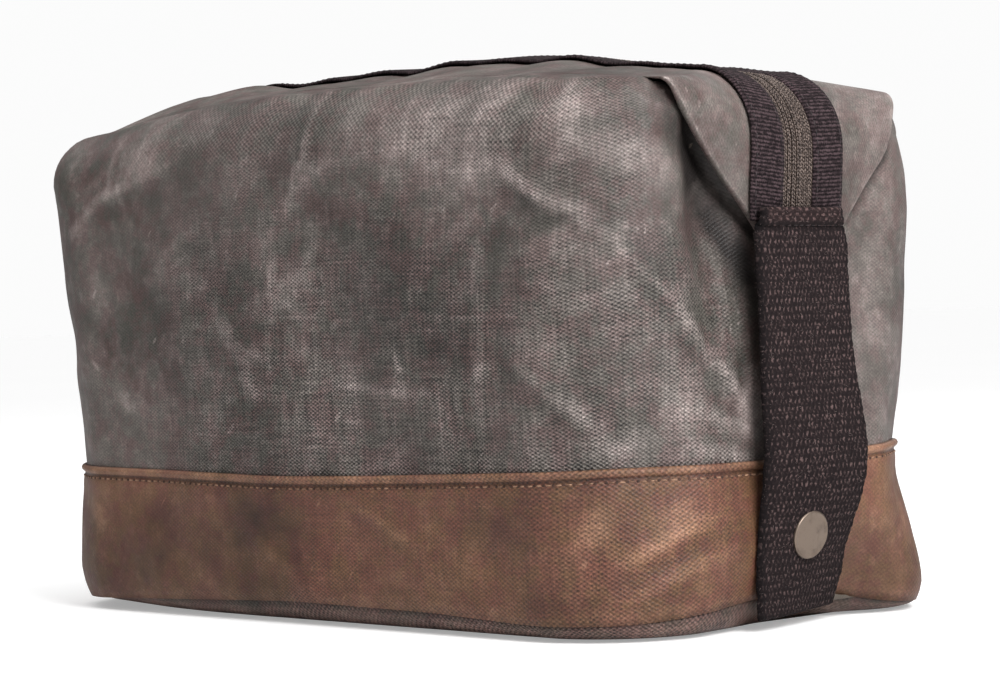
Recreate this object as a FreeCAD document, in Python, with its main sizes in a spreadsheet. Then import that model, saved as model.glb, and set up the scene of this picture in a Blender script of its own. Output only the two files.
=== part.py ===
"""A soft zip-top wash bag in waxed canvas, closed and standing on a table.

The frame is +Z up, with the origin under the middle of the base. +X points to the right end and -Y to the
front. Lengths are in millimetres. The bag is a rounded box whose top closes along a zip from end to end.
At each end the closed top folds down as a triangular flap, and a webbing strap carries on from the zip's
end to a press stud on the brown base band.
"""

import FreeCAD, Part
import math
import os

import Sketcher
from FreeCAD import Rotation, Vector

# One eighth of a turn: the end flaps start half-way round the top edge's quarter circle.
EIGHTH = math.sqrt(0.5)

RIGHT, LEFT = 1, -1
FRONT, BACK = -1, 1
SIDE_NAMES = {RIGHT: "right", LEFT: "left"}
FACE_NAMES = {FRONT: "front", BACK: "back"}

# Driving dimensions, in millimetres. Each becomes a cell of the document's spreadsheet.
DIMENSIONS = {
    # the bag's box, over the canvas
    "length": 262.0,
    "depth": 145.0,
    "height": 158.0,
    "corner_radius": 36.0,
    "shoulder_radius": 22.0,
    # cloth
    "canvas_thickness": 1.2,
    "lining_thickness": 0.5,
    "cloth_gap": 0.2,
    "running_gap": 0.3,
    # base and band
    "base_seam_height": 8.0,
    "base_radius": 6.0,
    "band_height": 40.0,
    # zip
    "coil_width": 2.6,
    "coil_height": 2.0,
    "coil_split": 1.0,
    "tape_inset": 1.2,
    "tape_reach": 9.0,
    "tape_thickness": 0.6,
    "ribbon_inset": 6.0,
    "ribbon_width": 13.0,
    "ribbon_thickness": 0.6,
    # end flaps
    "flap_reach": 62.0,
    "flap_gap": 0.4,
    "hem_cover": 6.0,
    # straps
    "strap_width": 38.0,
    "strap_thickness": 1.8,
    "strap_hem_drop": 42.0,
    "strap_lower_end": 5.0,
    # press studs
    "stud_height": 26.0,
    "cap_radius": 7.5,
    "cap_dome": 1.2,
    "rivet_radius": 1.9,
    "socket_radius": 6.2,
    "socket_wall": 0.5,
    "stud_flange_radius": 5.0,
    "stud_flange_thickness": 0.5,
    "stud_knob_radius": 3.2,
    "stud_knob_height": 1.0,
    "knob_gap": 0.2,
    "eyelet_radius": 5.2,
    "eyelet_thickness": 0.6,
    # slider and pull
    "slider_length": 11.0,
    "slider_plate": 1.0,
    "slider_side": 0.9,
    "slider_gap": 0.25,
    "slider_post_length": 3.0,
    "slider_post_thickness": 0.6,
    "slider_park": 3.0,
    "bridge_length": 6.4,
    "bridge_width": 2.2,
    "bridge_opening": 2.2,
    "bridge_bar": 0.9,
    "pull_length": 24.0,
    "pull_width": 7.2,
    "pull_thickness": 1.2,
    "pull_tip_hole": 1.6,
    "pull_eye_length": 5.2,
}


class Size:
    """A length that knows its number and the spreadsheet expression it comes from."""

    def __init__(self, text, value):
        self.text = text
        self.value = float(value)

    @staticmethod
    def of(other):
        """The Size itself, or a plain number as a Size."""
        if isinstance(other, Size):
            return other
        return Size(repr(float(other)), other)

    def __add__(self, other):
        other = Size.of(other)
        return Size(f"({self.text} + {other.text})", self.value + other.value)

    def __sub__(self, other):
        other = Size.of(other)
        return Size(f"({self.text} - {other.text})", self.value - other.value)

    def __mul__(self, factor):
        return Size(f"({self.text} * {factor!r})", self.value * factor)

    def __truediv__(self, factor):
        return Size(f"({self.text} / {factor!r})", self.value / factor)

    def __neg__(self):
        return self * -1

    __radd__ = __add__
    __rmul__ = __mul__


class Arc:
    """The next edge of an outline is an arc to (x, y) about (centre_x, centre_y)."""

    def __init__(self, x, y, centre_x, centre_y, anticlockwise):
        self.point = (x, y)
        self.centre = (Size.of(centre_x), Size.of(centre_y))
        self.anticlockwise = anticlockwise


doc = FreeCAD.newDocument("wash_bag")
sheet = doc.addObject("Spreadsheet::Sheet", "sizes")
nodes = []


def fill_sheet():
    """Writes each driving dimension to its cell and returns them as Sizes by name."""
    for row, (name, value) in enumerate(DIMENSIONS.items(), start=1):
        sheet.set(f"A{row}", name)
        sheet.set(f"B{row}", str(value))
        sheet.setAlias(f"B{row}", name)
    doc.recompute()
    return {name: Size(f"sizes.{name}", value) for name, value in DIMENSIONS.items()}


S = fill_sheet()


# --- drawing helpers -------------------------------------------------------------------------------------


def new_body(name):
    """An empty PartDesign body that becomes one node."""
    body = doc.addObject("PartDesign::Body", name)
    body.Label = name
    nodes.append(body)
    return body


def origin_plane(body, role):
    """One of the body's own origin planes: XY_Plane, XZ_Plane or YZ_Plane."""
    return next(f for f in body.Origin.OriginFeatures if f.Role == role)


def new_sketch(body, plane, lift=0.0):
    """An empty sketch on one of the body's origin planes, lifted along the plane's normal."""
    sketch = body.newObject("Sketcher::SketchObject", f"{body.Name}_outline")
    sketch.AttachmentSupport = [(origin_plane(body, plane), "")]
    sketch.MapMode = "FlatFace"
    lift = Size.of(lift)
    sketch.AttachmentOffset = FreeCAD.Placement(Vector(0, 0, lift.value), Rotation())
    sketch.setExpression("AttachmentOffset.Base.z", lift.text)
    return sketch


def bind(sketch, kind, geometry, position, size):
    """Ties one coordinate of a sketch point to a Size."""
    size = Size.of(size)
    number = sketch.addConstraint(Sketcher.Constraint(kind, -1, 1, geometry, position, size.value))
    sketch.setExpression(f"Constraints[{number}]", size.text)


def add_arc(sketch, start, step):
    """Adds an arc from start to step.point and ties its centre. Returns (geometry, first end, last end)."""
    centre = Vector(step.centre[0].value, step.centre[1].value, 0)
    first, last = (start, step.point) if step.anticlockwise else (step.point, start)
    angles = [math.atan2(p[1].value - centre.y, p[0].value - centre.x) for p in (first, last)]
    if angles[1] < angles[0]:
        angles[1] += 2 * math.pi
    radius = math.hypot(start[0].value - centre.x, start[1].value - centre.y)
    circle = Part.Circle(centre, Vector(0, 0, 1), radius)
    number = sketch.addGeometry(Part.ArcOfCircle(circle, *angles), False)
    bind(sketch, "DistanceX", number, 3, step.centre[0])
    return (number, 1, 2) if step.anticlockwise else (number, 2, 1)


def draw(sketch, steps, closed=True):
    """Draws an outline of straight edges and arcs through the given points, every one tied to its Sizes."""
    points = [step.point if isinstance(step, Arc) else step for step in steps]
    points = [(Size.of(x), Size.of(y)) for x, y in points]
    edges = []
    count = len(steps) if closed else len(steps) - 1
    for i in range(count):
        start, end, step = points[i], points[(i + 1) % len(points)], steps[(i + 1) % len(steps)]
        if isinstance(step, Arc):
            edges.append(add_arc(sketch, start, step))
            continue
        line = Part.LineSegment(
            Vector(start[0].value, start[1].value, 0), Vector(end[0].value, end[1].value, 0)
        )
        edges.append((sketch.addGeometry(line, False), 1, 2))
    for i, (number, first, last) in enumerate(edges):
        bind(sketch, "DistanceX", number, first, points[i][0])
        bind(sketch, "DistanceY", number, first, points[i][1])
        if closed or i + 1 < count:
            after = edges[(i + 1) % len(edges)]
            sketch.addConstraint(Sketcher.Constraint("Coincident", number, last, after[0], after[1]))
    if not closed:
        number, _, last = edges[-1]
        bind(sketch, "DistanceX", number, last, points[-1][0])
        bind(sketch, "DistanceY", number, last, points[-1][1])
    return sketch


def draw_circle(sketch, x, y, radius):
    """Draws a circle whose centre and radius are tied to Sizes."""
    x, y, radius = Size.of(x), Size.of(y), Size.of(radius)
    circle = Part.Circle(Vector(x.value, y.value, 0), Vector(0, 0, 1), radius.value)
    number = sketch.addGeometry(circle, False)
    bind(sketch, "DistanceX", number, 3, x)
    bind(sketch, "DistanceY", number, 3, y)
    constraint = sketch.addConstraint(Sketcher.Constraint("Radius", number, radius.value))
    sketch.setExpression(f"Constraints[{constraint}]", radius.text)
    return sketch


def rectangle(low_x, low_y, high_x, high_y):
    """An outline with square corners."""
    return [(low_x, low_y), (high_x, low_y), (high_x, high_y), (low_x, high_y)]


def extrude(body, kind, sketch, length, backwards=False):
    """A Pad or a Pocket of the sketch, of a bound length."""
    feature = body.newObject(f"PartDesign::{kind}", f"{body.Name}_{kind.lower()}")
    feature.Profile = sketch
    length = Size.of(length)
    feature.Length = length.value
    feature.setExpression("Length", length.text)
    feature.Reversed = backwards
    sketch.Visibility = False
    return feature


def slab(body, plane, outline, low, high, kind="Pad"):
    """Pads (or pockets) an outline between two distances from a plane.

    The XZ plane's normal is -Y, so there low and high are turned round to stay coordinates.
    """
    low, high = Size.of(low), Size.of(high)
    lift = -high if plane == "XZ_Plane" else low
    sketch = draw(new_sketch(body, plane, lift), outline)
    return extrude(body, kind, sketch, high - low, backwards=kind == "Pocket")


def sweep(body, profile, path):
    """An AdditivePipe of the profile along a flat path."""
    pipe = body.newObject("PartDesign::AdditivePipe", f"{body.Name}_pipe")
    pipe.Profile = profile
    pipe.Spine = (path, [f"Edge{i + 1}" for i in range(path.GeometryCount)])
    pipe.Mode = "Standard"
    profile.Visibility = False
    path.Visibility = False
    return pipe


# --- places shared by more than one piece ----------------------------------------------------------------

half_length = S["length"] / 2
half_depth = S["depth"] / 2
top = S["height"]
canvas = S["canvas_thickness"]
shoulder = S["shoulder_radius"]
band_top = S["base_seam_height"] + S["band_height"]

# The mouth is the part of the flat top that lies between the straight runs of the sides.
mouth_half_length = half_length - S["corner_radius"]
mouth_half_depth = half_depth - shoulder
ribbon_outer = S["ribbon_inset"] + S["ribbon_width"]

# The centre of the end shoulders' quarter circle, in the XZ plane.
bend_x = half_length - shoulder
bend_z = top - shoulder

# The flap's layers, as distances outside the end wall, from the inside out. The zip's tape lies flush with
# the flap's outer canvas, and the ribbon and the coil lie on it.
gusset_in = S["flap_gap"]
gusset_out = gusset_in + canvas
flap_out = gusset_out + canvas
tape_in = flap_out - S["tape_thickness"]
ribbon_out = flap_out + S["ribbon_thickness"]
coil_out = flap_out + S["coil_height"]
strap_out = ribbon_out + S["strap_thickness"]

# The top's own cloth turns down to the flap about a second, outer centre. It is as far along both X and Z
# from the shoulder's centre as brings the flap's outer canvas level with the top.
fold_shift = flap_out * (math.sqrt(2) + 1)
fold_x = bend_x + fold_shift
fold_z = bend_z + fold_shift
fold_inset = fold_shift * math.sqrt(2)

coil_near = S["coil_split"] / 2
coil_far = coil_near + S["coil_width"]
flap_tip = top - S["flap_reach"]
strap_hem = top - S["strap_hem_drop"]
band_out = canvas


# --- outlines --------------------------------------------------------------------------------------------


def half_ring_path(body, face):
    """The plan of one half of the bag's wall: from the right end's middle, round the face, to the left's."""
    x_flat = half_length - S["corner_radius"]
    y_flat = (half_depth - S["corner_radius"]) * face
    front = face == FRONT
    steps = [
        (half_length, 0),
        (half_length, y_flat),
        Arc(x_flat, half_depth * face, x_flat, y_flat, not front),
        (-x_flat, half_depth * face),
        Arc(-half_length, y_flat, -x_flat, y_flat, not front),
        (-half_length, 0),
    ]
    return draw(new_sketch(body, "XY_Plane"), steps, closed=False)


def wall_profile(body, outside, inside, low):
    """The section of a wall with its shoulder, between two distances inside the bag's outer face."""
    outer_x, inner_x = half_length - outside, half_length - inside
    steps = [
        (inner_x, low),
        (outer_x, low),
        (outer_x, bend_z),
        Arc(bend_x, top - outside, bend_x, bend_z, True),
        (bend_x, top - inside),
        Arc(inner_x, bend_z, bend_x, bend_z, False),
    ]
    return draw(new_sketch(body, "XZ_Plane"), steps)


def fold_outline(side, inside, outside, start):
    """The section of a layer of the fixed top, from x = start outwards and half-way round the fold."""
    inner, outer = shoulder + inside - fold_inset, shoulder + outside - fold_inset
    x, z = fold_x * side, fold_z
    return [
        (x, z + inner),
        Arc(x + inner * (EIGHTH * side), z + inner * EIGHTH, x, z, side == LEFT),
        (x + outer * (EIGHTH * side), z + outer * EIGHTH),
        Arc(x, z + outer, x, z, side == RIGHT),
        (start * side, z + outer),
        (start * side, z + inner),
    ]


def flap_outline(side, inside, outside, low):
    """The section of a flap's layer: the lower half of the bend, then straight down to low."""
    inner, outer = shoulder + inside, shoulder + outside
    x, z = bend_x * side, bend_z
    return [
        (x + inner * side, low),
        (x + outer * side, low),
        (x + outer * side, z),
        Arc(x + outer * (EIGHTH * side), z + outer * EIGHTH, x, z, side == RIGHT),
        (x + inner * (EIGHTH * side), z + inner * EIGHTH),
        Arc(x + inner * side, z, x, z, side == LEFT),
    ]


# --- the bag's fixed shell -------------------------------------------------------------------------------


def stud_hole(body):
    """Cuts the hole for each end's stud rivet through the walls that meet there."""
    hole = draw_circle(
        new_sketch(body, "YZ_Plane", -S["length"]), 0, S["stud_height"], S["rivet_radius"] + S["cloth_gap"]
    )
    cut = extrude(body, "Pocket", hole, S["length"] * 2, backwards=True)
    cut.recompute()


def end_panel(body, face, side, low, high):
    """Closes the top between the mouth's end and the shoulder, on one face's side of the zip."""
    near, far = S["tape_reach"] * face, mouth_half_depth * face
    corner_y = (half_depth - S["corner_radius"]) * face
    mouth_x, shoulder_x = mouth_half_length * side, bend_x * side
    outline = [
        (mouth_x, near),
        (shoulder_x, near),
        (shoulder_x, corner_y),
        Arc(mouth_x, far, mouth_x, corner_y, side * face == 1),
    ]
    slab(body, "XY_Plane", outline, low, high)


def make_wall(face):
    """The waxed canvas of one long side: the wall round to both end seams, and the top's two fixed ends."""
    body = new_body(f"{FACE_NAMES[face]}_canvas")
    sweep(body, wall_profile(body, 0, canvas, S["base_seam_height"]), half_ring_path(body, face))
    fold_half_width = S["flap_reach"] - shoulder * (1 - EIGHTH)
    for side in (RIGHT, LEFT):
        end_panel(body, face, side, top - canvas, top)
        near, far = across(face, S["tape_reach"], fold_half_width)
        slab(body, "XZ_Plane", fold_outline(side, gusset_out, flap_out, bend_x), near, far)
        # The zip's tapes run over the end seam in a shallow recess.
        ends = (bend_x, fold_x) if side == RIGHT else (-fold_x, -bend_x)
        recess = rectangle(ends[0], -S["tape_reach"], ends[1], S["tape_reach"])
        slab(body, "XY_Plane", recess, top - S["tape_thickness"], top + canvas, kind="Pocket")
    stud_hole(body)


def make_band(face):
    """The brown band, sewn over the foot of the wall."""
    body = new_body(f"{FACE_NAMES[face]}_band")
    outline = rectangle(half_length, S["base_seam_height"], half_length + band_out, band_top)
    sweep(body, draw(new_sketch(body, "XZ_Plane"), outline), half_ring_path(body, face))
    stud_hole(body)


def half_plan(face, inset):
    """The plan of one half of the bag's floor, inset from the bag's outer face."""
    x_flat = half_length - S["corner_radius"]
    y_flat = (half_depth - S["corner_radius"]) * face
    edge_x, edge_y = half_length - inset, (half_depth - inset) * face
    front = face == FRONT
    return [
        (edge_x, 0),
        (edge_x, y_flat),
        Arc(x_flat, edge_y, x_flat, y_flat, not front),
        (-x_flat, edge_y),
        Arc(-edge_x, y_flat, -x_flat, y_flat, not front),
        (-edge_x, 0),
    ]


def make_lining(face):
    """One half of the inner cloth: its wall and its half of the floor."""
    body = new_body(f"{FACE_NAMES[face]}_lining")
    outside = canvas + S["cloth_gap"]
    inside = outside + S["lining_thickness"]
    floor = outside
    base_bend = S["base_radius"]
    slab(body, "XY_Plane", half_plan(face, base_bend), floor, floor + S["lining_thickness"])
    outer_x, inner_x = half_length - outside, half_length - inside
    centre_x = half_length - base_bend
    profile = [
        (centre_x, floor),
        Arc(outer_x, base_bend, centre_x, base_bend, True),
        (outer_x, bend_z),
        Arc(bend_x, top - outside, bend_x, bend_z, True),
        (bend_x, top - inside),
        Arc(inner_x, bend_z, bend_x, bend_z, False),
        (inner_x, base_bend),
        Arc(centre_x, floor + S["lining_thickness"], centre_x, base_bend, False),
    ]
    sweep(body, draw(new_sketch(body, "XZ_Plane"), profile), half_ring_path(body, face))
    for side in (RIGHT, LEFT):
        end_panel(body, face, side, top - inside, top - outside)
    stud_hole(body)


def make_base():
    """The canvas base: a shallow tray whose rim meets the walls at the base seam."""
    body = new_body("base_panel")
    x_flat = half_length - S["corner_radius"]
    y_flat = half_depth - S["corner_radius"]
    plan = [
        (x_flat, -half_depth),
        Arc(half_length, -y_flat, x_flat, -y_flat, True),
        (half_length, y_flat),
        Arc(x_flat, half_depth, x_flat, y_flat, True),
        (-x_flat, half_depth),
        Arc(-half_length, y_flat, -x_flat, y_flat, True),
        (-half_length, -y_flat),
        Arc(-x_flat, -half_depth, -x_flat, -y_flat, True),
    ]
    block = slab(body, "XY_Plane", plan, 0, S["base_seam_height"])
    doc.recompute()
    bottom = [f"Edge{i + 1}" for i, e in enumerate(block.Shape.Edges) if e.BoundBox.ZMax < 1e-6]
    rounding = body.newObject("PartDesign::Fillet", "base_rounding")
    rounding.Base = (block, bottom)
    rounding.Radius = S["base_radius"].value
    rounding.setExpression("Radius", S["base_radius"].text)
    doc.recompute()
    rim = S["base_seam_height"].value
    open_face = [f"Face{i + 1}" for i, f in enumerate(rounding.Shape.Faces) if f.BoundBox.ZMin > rim - 1e-6]
    hollow = body.newObject("PartDesign::Thickness", "base_hollow")
    hollow.Base = (rounding, open_face)
    hollow.Reversed = True
    hollow.Value = canvas.value
    hollow.setExpression("Value", canvas.text)


# --- the top's two halves --------------------------------------------------------------------------------


def across(face, near, far):
    """The Y span of a strip at near to far from the zip's line, on one face's side, lowest first."""
    return (-Size.of(far), -Size.of(near)) if face == FRONT else (Size.of(near), Size.of(far))


def make_top(face):
    """One half of the top: canvas, lining, ribbon, zip tape and coil, which lift together when unzipped."""
    name = FACE_NAMES[face]
    gap = S["running_gap"]
    x_low, x_high = gap - mouth_half_length, mouth_half_length - gap
    x_hem = S["coil_height"] * 2
    lining_top = top - canvas - S["cloth_gap"]
    strips = {
        "top_canvas": (S["tape_reach"], mouth_half_depth - gap, top - canvas, top, 0.0),
        "top_lining": (
            S["tape_reach"],
            mouth_half_depth - gap - S["canvas_thickness"] * 2,
            lining_top - S["lining_thickness"],
            lining_top,
            x_hem,
        ),
        "ribbon": (S["ribbon_inset"], ribbon_outer, top, top + S["ribbon_thickness"], 0.0),
        "zip_tape": (S["tape_inset"], S["tape_reach"], top - S["tape_thickness"], top, 0.0),
        "zip_coil": (coil_near, coil_far, top, top + S["coil_height"], 0.0),
    }
    for part, (near, far, low, high, hem) in strips.items():
        body = new_body(f"{name}_{part}")
        y_low, y_high = across(face, near, far)
        outline = rectangle(x_low + hem, y_low, x_high - hem, y_high)
        slab(body, "XY_Plane", outline, low, high)


# --- the ends: bends, flaps and straps -------------------------------------------------------------------


def both_faces(body, outline, near, far):
    """Pads an XZ outline over one strip in front of the zip's line and its mirror image behind it."""
    first = slab(body, "XZ_Plane", outline, near, far)
    doc.recompute()
    mirror = body.newObject("PartDesign::Mirrored", f"{body.Name}_mirrored")
    mirror.Originals = [first]
    mirror.MirrorPlane = (origin_plane(body, "XZ_Plane"), [""])
    body.Tip = mirror


def make_zip_end(side):
    """The zip's fixed end, where the slider parks: tapes, ribbons and coils from the mouth to the fold."""
    name = SIDE_NAMES[side]
    body = new_body(f"{name}_end_tapes")
    outline = fold_outline(side, tape_in, flap_out, mouth_half_length)
    both_faces(body, outline, S["tape_inset"], S["tape_reach"])
    body = new_body(f"{name}_end_ribbons")
    outline = fold_outline(side, flap_out, ribbon_out, mouth_half_length)
    both_faces(body, outline, S["ribbon_inset"], ribbon_outer)
    body = new_body(f"{name}_end_coils")
    outline = rectangle(mouth_half_length * side, top, fold_x * side, top + S["coil_height"])
    both_faces(body, outline, coil_near, coil_far)


def trim_flap(body, face):
    """Cuts a flap's layer back to the diagonal fold on its face's side."""
    reach = S["flap_reach"]
    slack = S["flap_reach"]
    y_edge = reach * face
    outside = [
        (0, flap_tip),
        (y_edge, top),
        (y_edge, top + slack),
        (y_edge * 2, top + slack),
        (y_edge * 2, flap_tip - slack),
        (0, flap_tip - slack),
    ]
    sketch = draw(new_sketch(body, "YZ_Plane", -S["length"]), outside)
    extrude(body, "Pocket", sketch, S["length"] * 2, backwards=True)


def make_flap(side):
    """The folded-down end of the top: two canvas faces, the gusset behind them, and the end of the zip."""
    name = SIDE_NAMES[side]
    low = flap_tip - canvas
    for face in (FRONT, BACK):
        body = new_body(f"{name}_flap_{FACE_NAMES[face]}")
        y_low, y_high = across(face, S["tape_reach"], S["flap_reach"])
        slab(body, "XZ_Plane", flap_outline(side, gusset_out, flap_out, low), y_low, y_high)
        trim_flap(body, face)
    body = new_body(f"{name}_flap_gusset")
    slab(
        body,
        "XZ_Plane",
        flap_outline(side, gusset_in, gusset_out, low),
        -S["flap_reach"],
        S["flap_reach"],
    )
    trim_flap(body, FRONT)
    trim_flap(body, BACK)

    # Tapes and ribbons run on under the strap's hem. The coils stop short of it, and below the fold.
    tape_low = strap_hem - S["hem_cover"]
    body = new_body(f"{name}_flap_tapes")
    outline = flap_outline(side, tape_in, flap_out, tape_low)
    both_faces(body, outline, S["tape_inset"], S["tape_reach"])
    body = new_body(f"{name}_flap_ribbons")
    outline = flap_outline(side, flap_out, ribbon_out, tape_low)
    both_faces(body, outline, S["ribbon_inset"], ribbon_outer)
    body = new_body(f"{name}_flap_coils")
    coil_low = strap_hem + S["cloth_gap"]
    wall_x = half_length * side
    outline = rectangle(wall_x + flap_out * side, coil_low, wall_x + coil_out * side, bend_z)
    both_faces(body, outline, coil_near, coil_far)


def make_strap(side):
    """The webbing: a tab sewn to the flap's tip, then the free strap down to the press stud."""
    name = SIDE_NAMES[side]
    half_width = S["strap_width"] / 2
    x_in, x_out = (half_length + ribbon_out) * side, (half_length + strap_out) * side
    x_low, x_high = (x_in, x_out) if side == RIGHT else (x_out, x_in)
    body = new_body(f"{name}_strap_tab")
    slab(body, "YZ_Plane", rectangle(-half_width, flap_tip, half_width, strap_hem), x_low, x_high)
    body = new_body(f"{name}_strap")
    strap_top = flap_tip - S["running_gap"]
    outline = rectangle(-half_width, S["strap_lower_end"], half_width, strap_top)
    slab(body, "YZ_Plane", outline, x_low, x_high)
    hole = draw_circle(
        new_sketch(body, "YZ_Plane", x_low - canvas), 0, S["stud_height"], S["rivet_radius"]
    )
    extrude(body, "Pocket", hole, S["strap_thickness"] + canvas * 2, backwards=True)


# --- press studs -----------------------------------------------------------------------------------------


def revolve(body, side, steps):
    """Turns an outline of (distance out from the end wall, radius) about the stud's axis."""
    outline = []
    for step in steps:
        if isinstance(step, Arc):
            (out, radius), (centre, height) = step.point, step.centre
            ccw = step.anticlockwise == (side == RIGHT)
            outline.append(
                Arc(
                    (half_length + out) * side,
                    S["stud_height"] + radius,
                    (half_length + centre) * side,
                    S["stud_height"] + height,
                    ccw,
                )
            )
            continue
        outline.append(((half_length + step[0]) * side, S["stud_height"] + step[1]))
    sketch = draw(new_sketch(body, "XZ_Plane"), outline)
    axis = Part.LineSegment(
        Vector(0, S["stud_height"].value, 0), Vector(half_length.value * side, S["stud_height"].value, 0)
    )
    number = sketch.addGeometry(axis, True)
    bind(sketch, "DistanceX", number, 1, 0)
    bind(sketch, "DistanceY", number, 1, S["stud_height"])
    bind(sketch, "DistanceX", number, 2, half_length * side)
    bind(sketch, "DistanceY", number, 2, S["stud_height"])
    turn = body.newObject("PartDesign::Revolution", f"{body.Name}_turned")
    turn.Profile = sketch
    turn.ReferenceAxis = (sketch, ["Axis0"])
    turn.Angle = 360
    sketch.Visibility = False


def make_press_stud(side):
    """The four pieces of one press stud: cap and socket on the strap, stud and eyelet on the bag."""
    name = SIDE_NAMES[side]
    rivet = S["rivet_radius"]

    # The cap is a shallow dome with a rivet that passes through the strap into the socket.
    rivet_end = ribbon_out - S["socket_wall"]
    rim = strap_out + S["cap_dome"] / 3
    dome = [
        (rivet_end, 0),
        (rivet_end, rivet),
        (strap_out, rivet),
        (strap_out, S["cap_radius"]),
        (rim, S["cap_radius"]),
        (strap_out + S["cap_dome"], S["cap_radius"] * 0.8),
        (strap_out + S["cap_dome"], 0),
    ]
    revolve(new_body(f"{name}_snap_cap"), side, dome)

    # The socket is a cup round the knob, closed against the strap and open towards the bag.
    mouth = band_out + S["stud_flange_thickness"] + S["knob_gap"]
    cup = ribbon_out - S["socket_wall"]
    knob_room = S["stud_knob_radius"] + S["knob_gap"]
    socket = [
        (mouth, knob_room),
        (mouth, S["socket_radius"]),
        (ribbon_out, S["socket_radius"]),
        (ribbon_out, rivet),
        (cup, rivet),
        (cup, knob_room),
    ]
    revolve(new_body(f"{name}_snap_socket"), side, socket)

    # The stud's knob stands on a flange against the band.
    flange = band_out + S["stud_flange_thickness"]
    knob = [
        (band_out, rivet),
        (band_out, S["stud_flange_radius"]),
        (flange, S["stud_flange_radius"]),
        (flange, S["stud_knob_radius"]),
        (flange + S["stud_knob_height"], S["stud_knob_radius"]),
        (flange + S["stud_knob_height"], rivet),
    ]
    revolve(new_body(f"{name}_snap_stud"), side, knob)

    # The eyelet's flange lies inside the lining, and its tube fills the stud.
    inner = -(canvas + S["cloth_gap"] + S["lining_thickness"])
    eyelet = [
        (inner - S["eyelet_thickness"], 0),
        (inner - S["eyelet_thickness"], S["eyelet_radius"]),
        (inner, S["eyelet_radius"]),
        (inner, rivet),
        (flange + S["stud_knob_height"] / 2, rivet),
        (flange + S["stud_knob_height"] / 2, 0),
    ]
    revolve(new_body(f"{name}_snap_eyelet"), side, eyelet)


# --- slider and pull -------------------------------------------------------------------------------------

slider_start = -bend_x + S["slider_park"]
slider_end = slider_start + S["slider_length"]
slider_middle = slider_start + S["slider_length"] / 2
slider_inner = coil_far + S["slider_gap"]
slider_outer = slider_inner + S["slider_side"]
plate_under = top + S["coil_height"] + S["slider_gap"]
plate_top = plate_under + S["slider_plate"]
foot_top = top - S["tape_thickness"] - S["slider_gap"]
foot_under = foot_top - S["slider_plate"]
pull_axis_z = plate_top + S["bridge_opening"] / 2


def make_slider():
    """The slider: a plate above the coils with sides down to the tapes, one below, and a post between."""
    body = new_body("slider_body")
    top_plate = rectangle(slider_start, -slider_outer, slider_end, slider_outer)
    slab(body, "XY_Plane", top_plate, plate_under, plate_top)
    for face in (FRONT, BACK):
        y_low, y_high = across(face, slider_inner, slider_outer)
        side = rectangle(slider_start, y_low, slider_end, y_high)
        slab(body, "XY_Plane", side, top + S["slider_gap"], plate_under)
    half_post = S["slider_post_thickness"] / 2
    post = rectangle(slider_start, -half_post, slider_start + S["slider_post_length"], half_post)
    slab(body, "XY_Plane", post, foot_top, plate_under)
    slab(body, "XY_Plane", top_plate, foot_under, foot_top)

    body = new_body("slider_bridge")
    half_bridge = S["bridge_length"] / 2
    foot = S["bridge_bar"]
    under = plate_top + S["bridge_opening"]
    crown = under + S["bridge_bar"]
    arch = [
        (slider_middle - half_bridge, plate_top),
        (slider_middle - half_bridge + foot, plate_top),
        (slider_middle - half_bridge + foot, under),
        (slider_middle + half_bridge - foot, under),
        (slider_middle + half_bridge - foot, plate_top),
        (slider_middle + half_bridge, plate_top),
        (slider_middle + half_bridge, crown - foot / 2),
        (slider_middle + half_bridge - foot / 2, crown),
        (slider_middle - half_bridge + foot / 2, crown),
        (slider_middle - half_bridge, crown - foot / 2),
    ]
    slab(body, "XZ_Plane", arch, -S["bridge_width"] / 2, S["bridge_width"] / 2)


def make_pull():
    """The pull: a flat tab with a window for the bridge, whose end bar turns under the bridge."""
    body = new_body("pull_tab")
    half_thick = S["pull_thickness"] / 2
    low, high = pull_axis_z - half_thick, pull_axis_z + half_thick
    half_width = S["pull_width"] / 2
    start = slider_middle - half_thick
    end = start + S["pull_length"]
    tip_radius = half_width
    outline = [
        (start, -half_width),
        (end - tip_radius, -half_width),
        Arc(end - tip_radius, half_width, end - tip_radius, 0, True),
        (start, half_width),
    ]
    slab(body, "XY_Plane", outline, low, high)
    eye_half = S["bridge_width"] / 2 + S["running_gap"] * 2
    eye_start = start + S["pull_thickness"]
    window = rectangle(eye_start, -eye_half, eye_start + S["pull_eye_length"], eye_half)
    slab(body, "XY_Plane", window, low - half_thick, high + half_thick, kind="Pocket")
    hole = draw_circle(
        new_sketch(body, "XY_Plane", low - half_thick), end - tip_radius, 0, S["pull_tip_hole"]
    )
    extrude(body, "Pocket", hole, S["pull_thickness"] * 2, backwards=True)


def build():
    """Makes every piece in order."""
    for face in (FRONT, BACK):
        make_wall(face)
        make_band(face)
        make_lining(face)
    make_base()
    for face in (FRONT, BACK):
        make_top(face)
    for side in (RIGHT, LEFT):
        make_zip_end(side)
        make_flap(side)
        make_strap(side)
        make_press_stud(side)
    make_slider()
    make_pull()
    doc.recompute()


def check():
    """Stops if any object failed or any node has no valid solid."""
    for thing in doc.Objects:
        if "Invalid" in thing.State or "Error" in thing.State:
            raise RuntimeError(f"{thing.Label} failed: {thing.State}")
    for node in nodes:
        shape = node.Shape
        if shape.isNull() or not shape.isValid() or not shape.Solids:
            raise RuntimeError(f"{node.Label} has no valid solid")


def export():
    """Writes one STEP file per node."""
    os.makedirs("parts", exist_ok=True)
    for node in nodes:
        node.Shape.exportStep(f"parts/{node.Label}.step")


build()
check()
export()
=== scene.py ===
"""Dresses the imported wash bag: waxed canvas, brown band, zip, ribbons, webbing straps and press studs.

Lengths are in millimetres, in the frame of the solids (+Z up, +X to the right end, -Y to the front), and
become metres when a mesh is made.
"""

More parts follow.
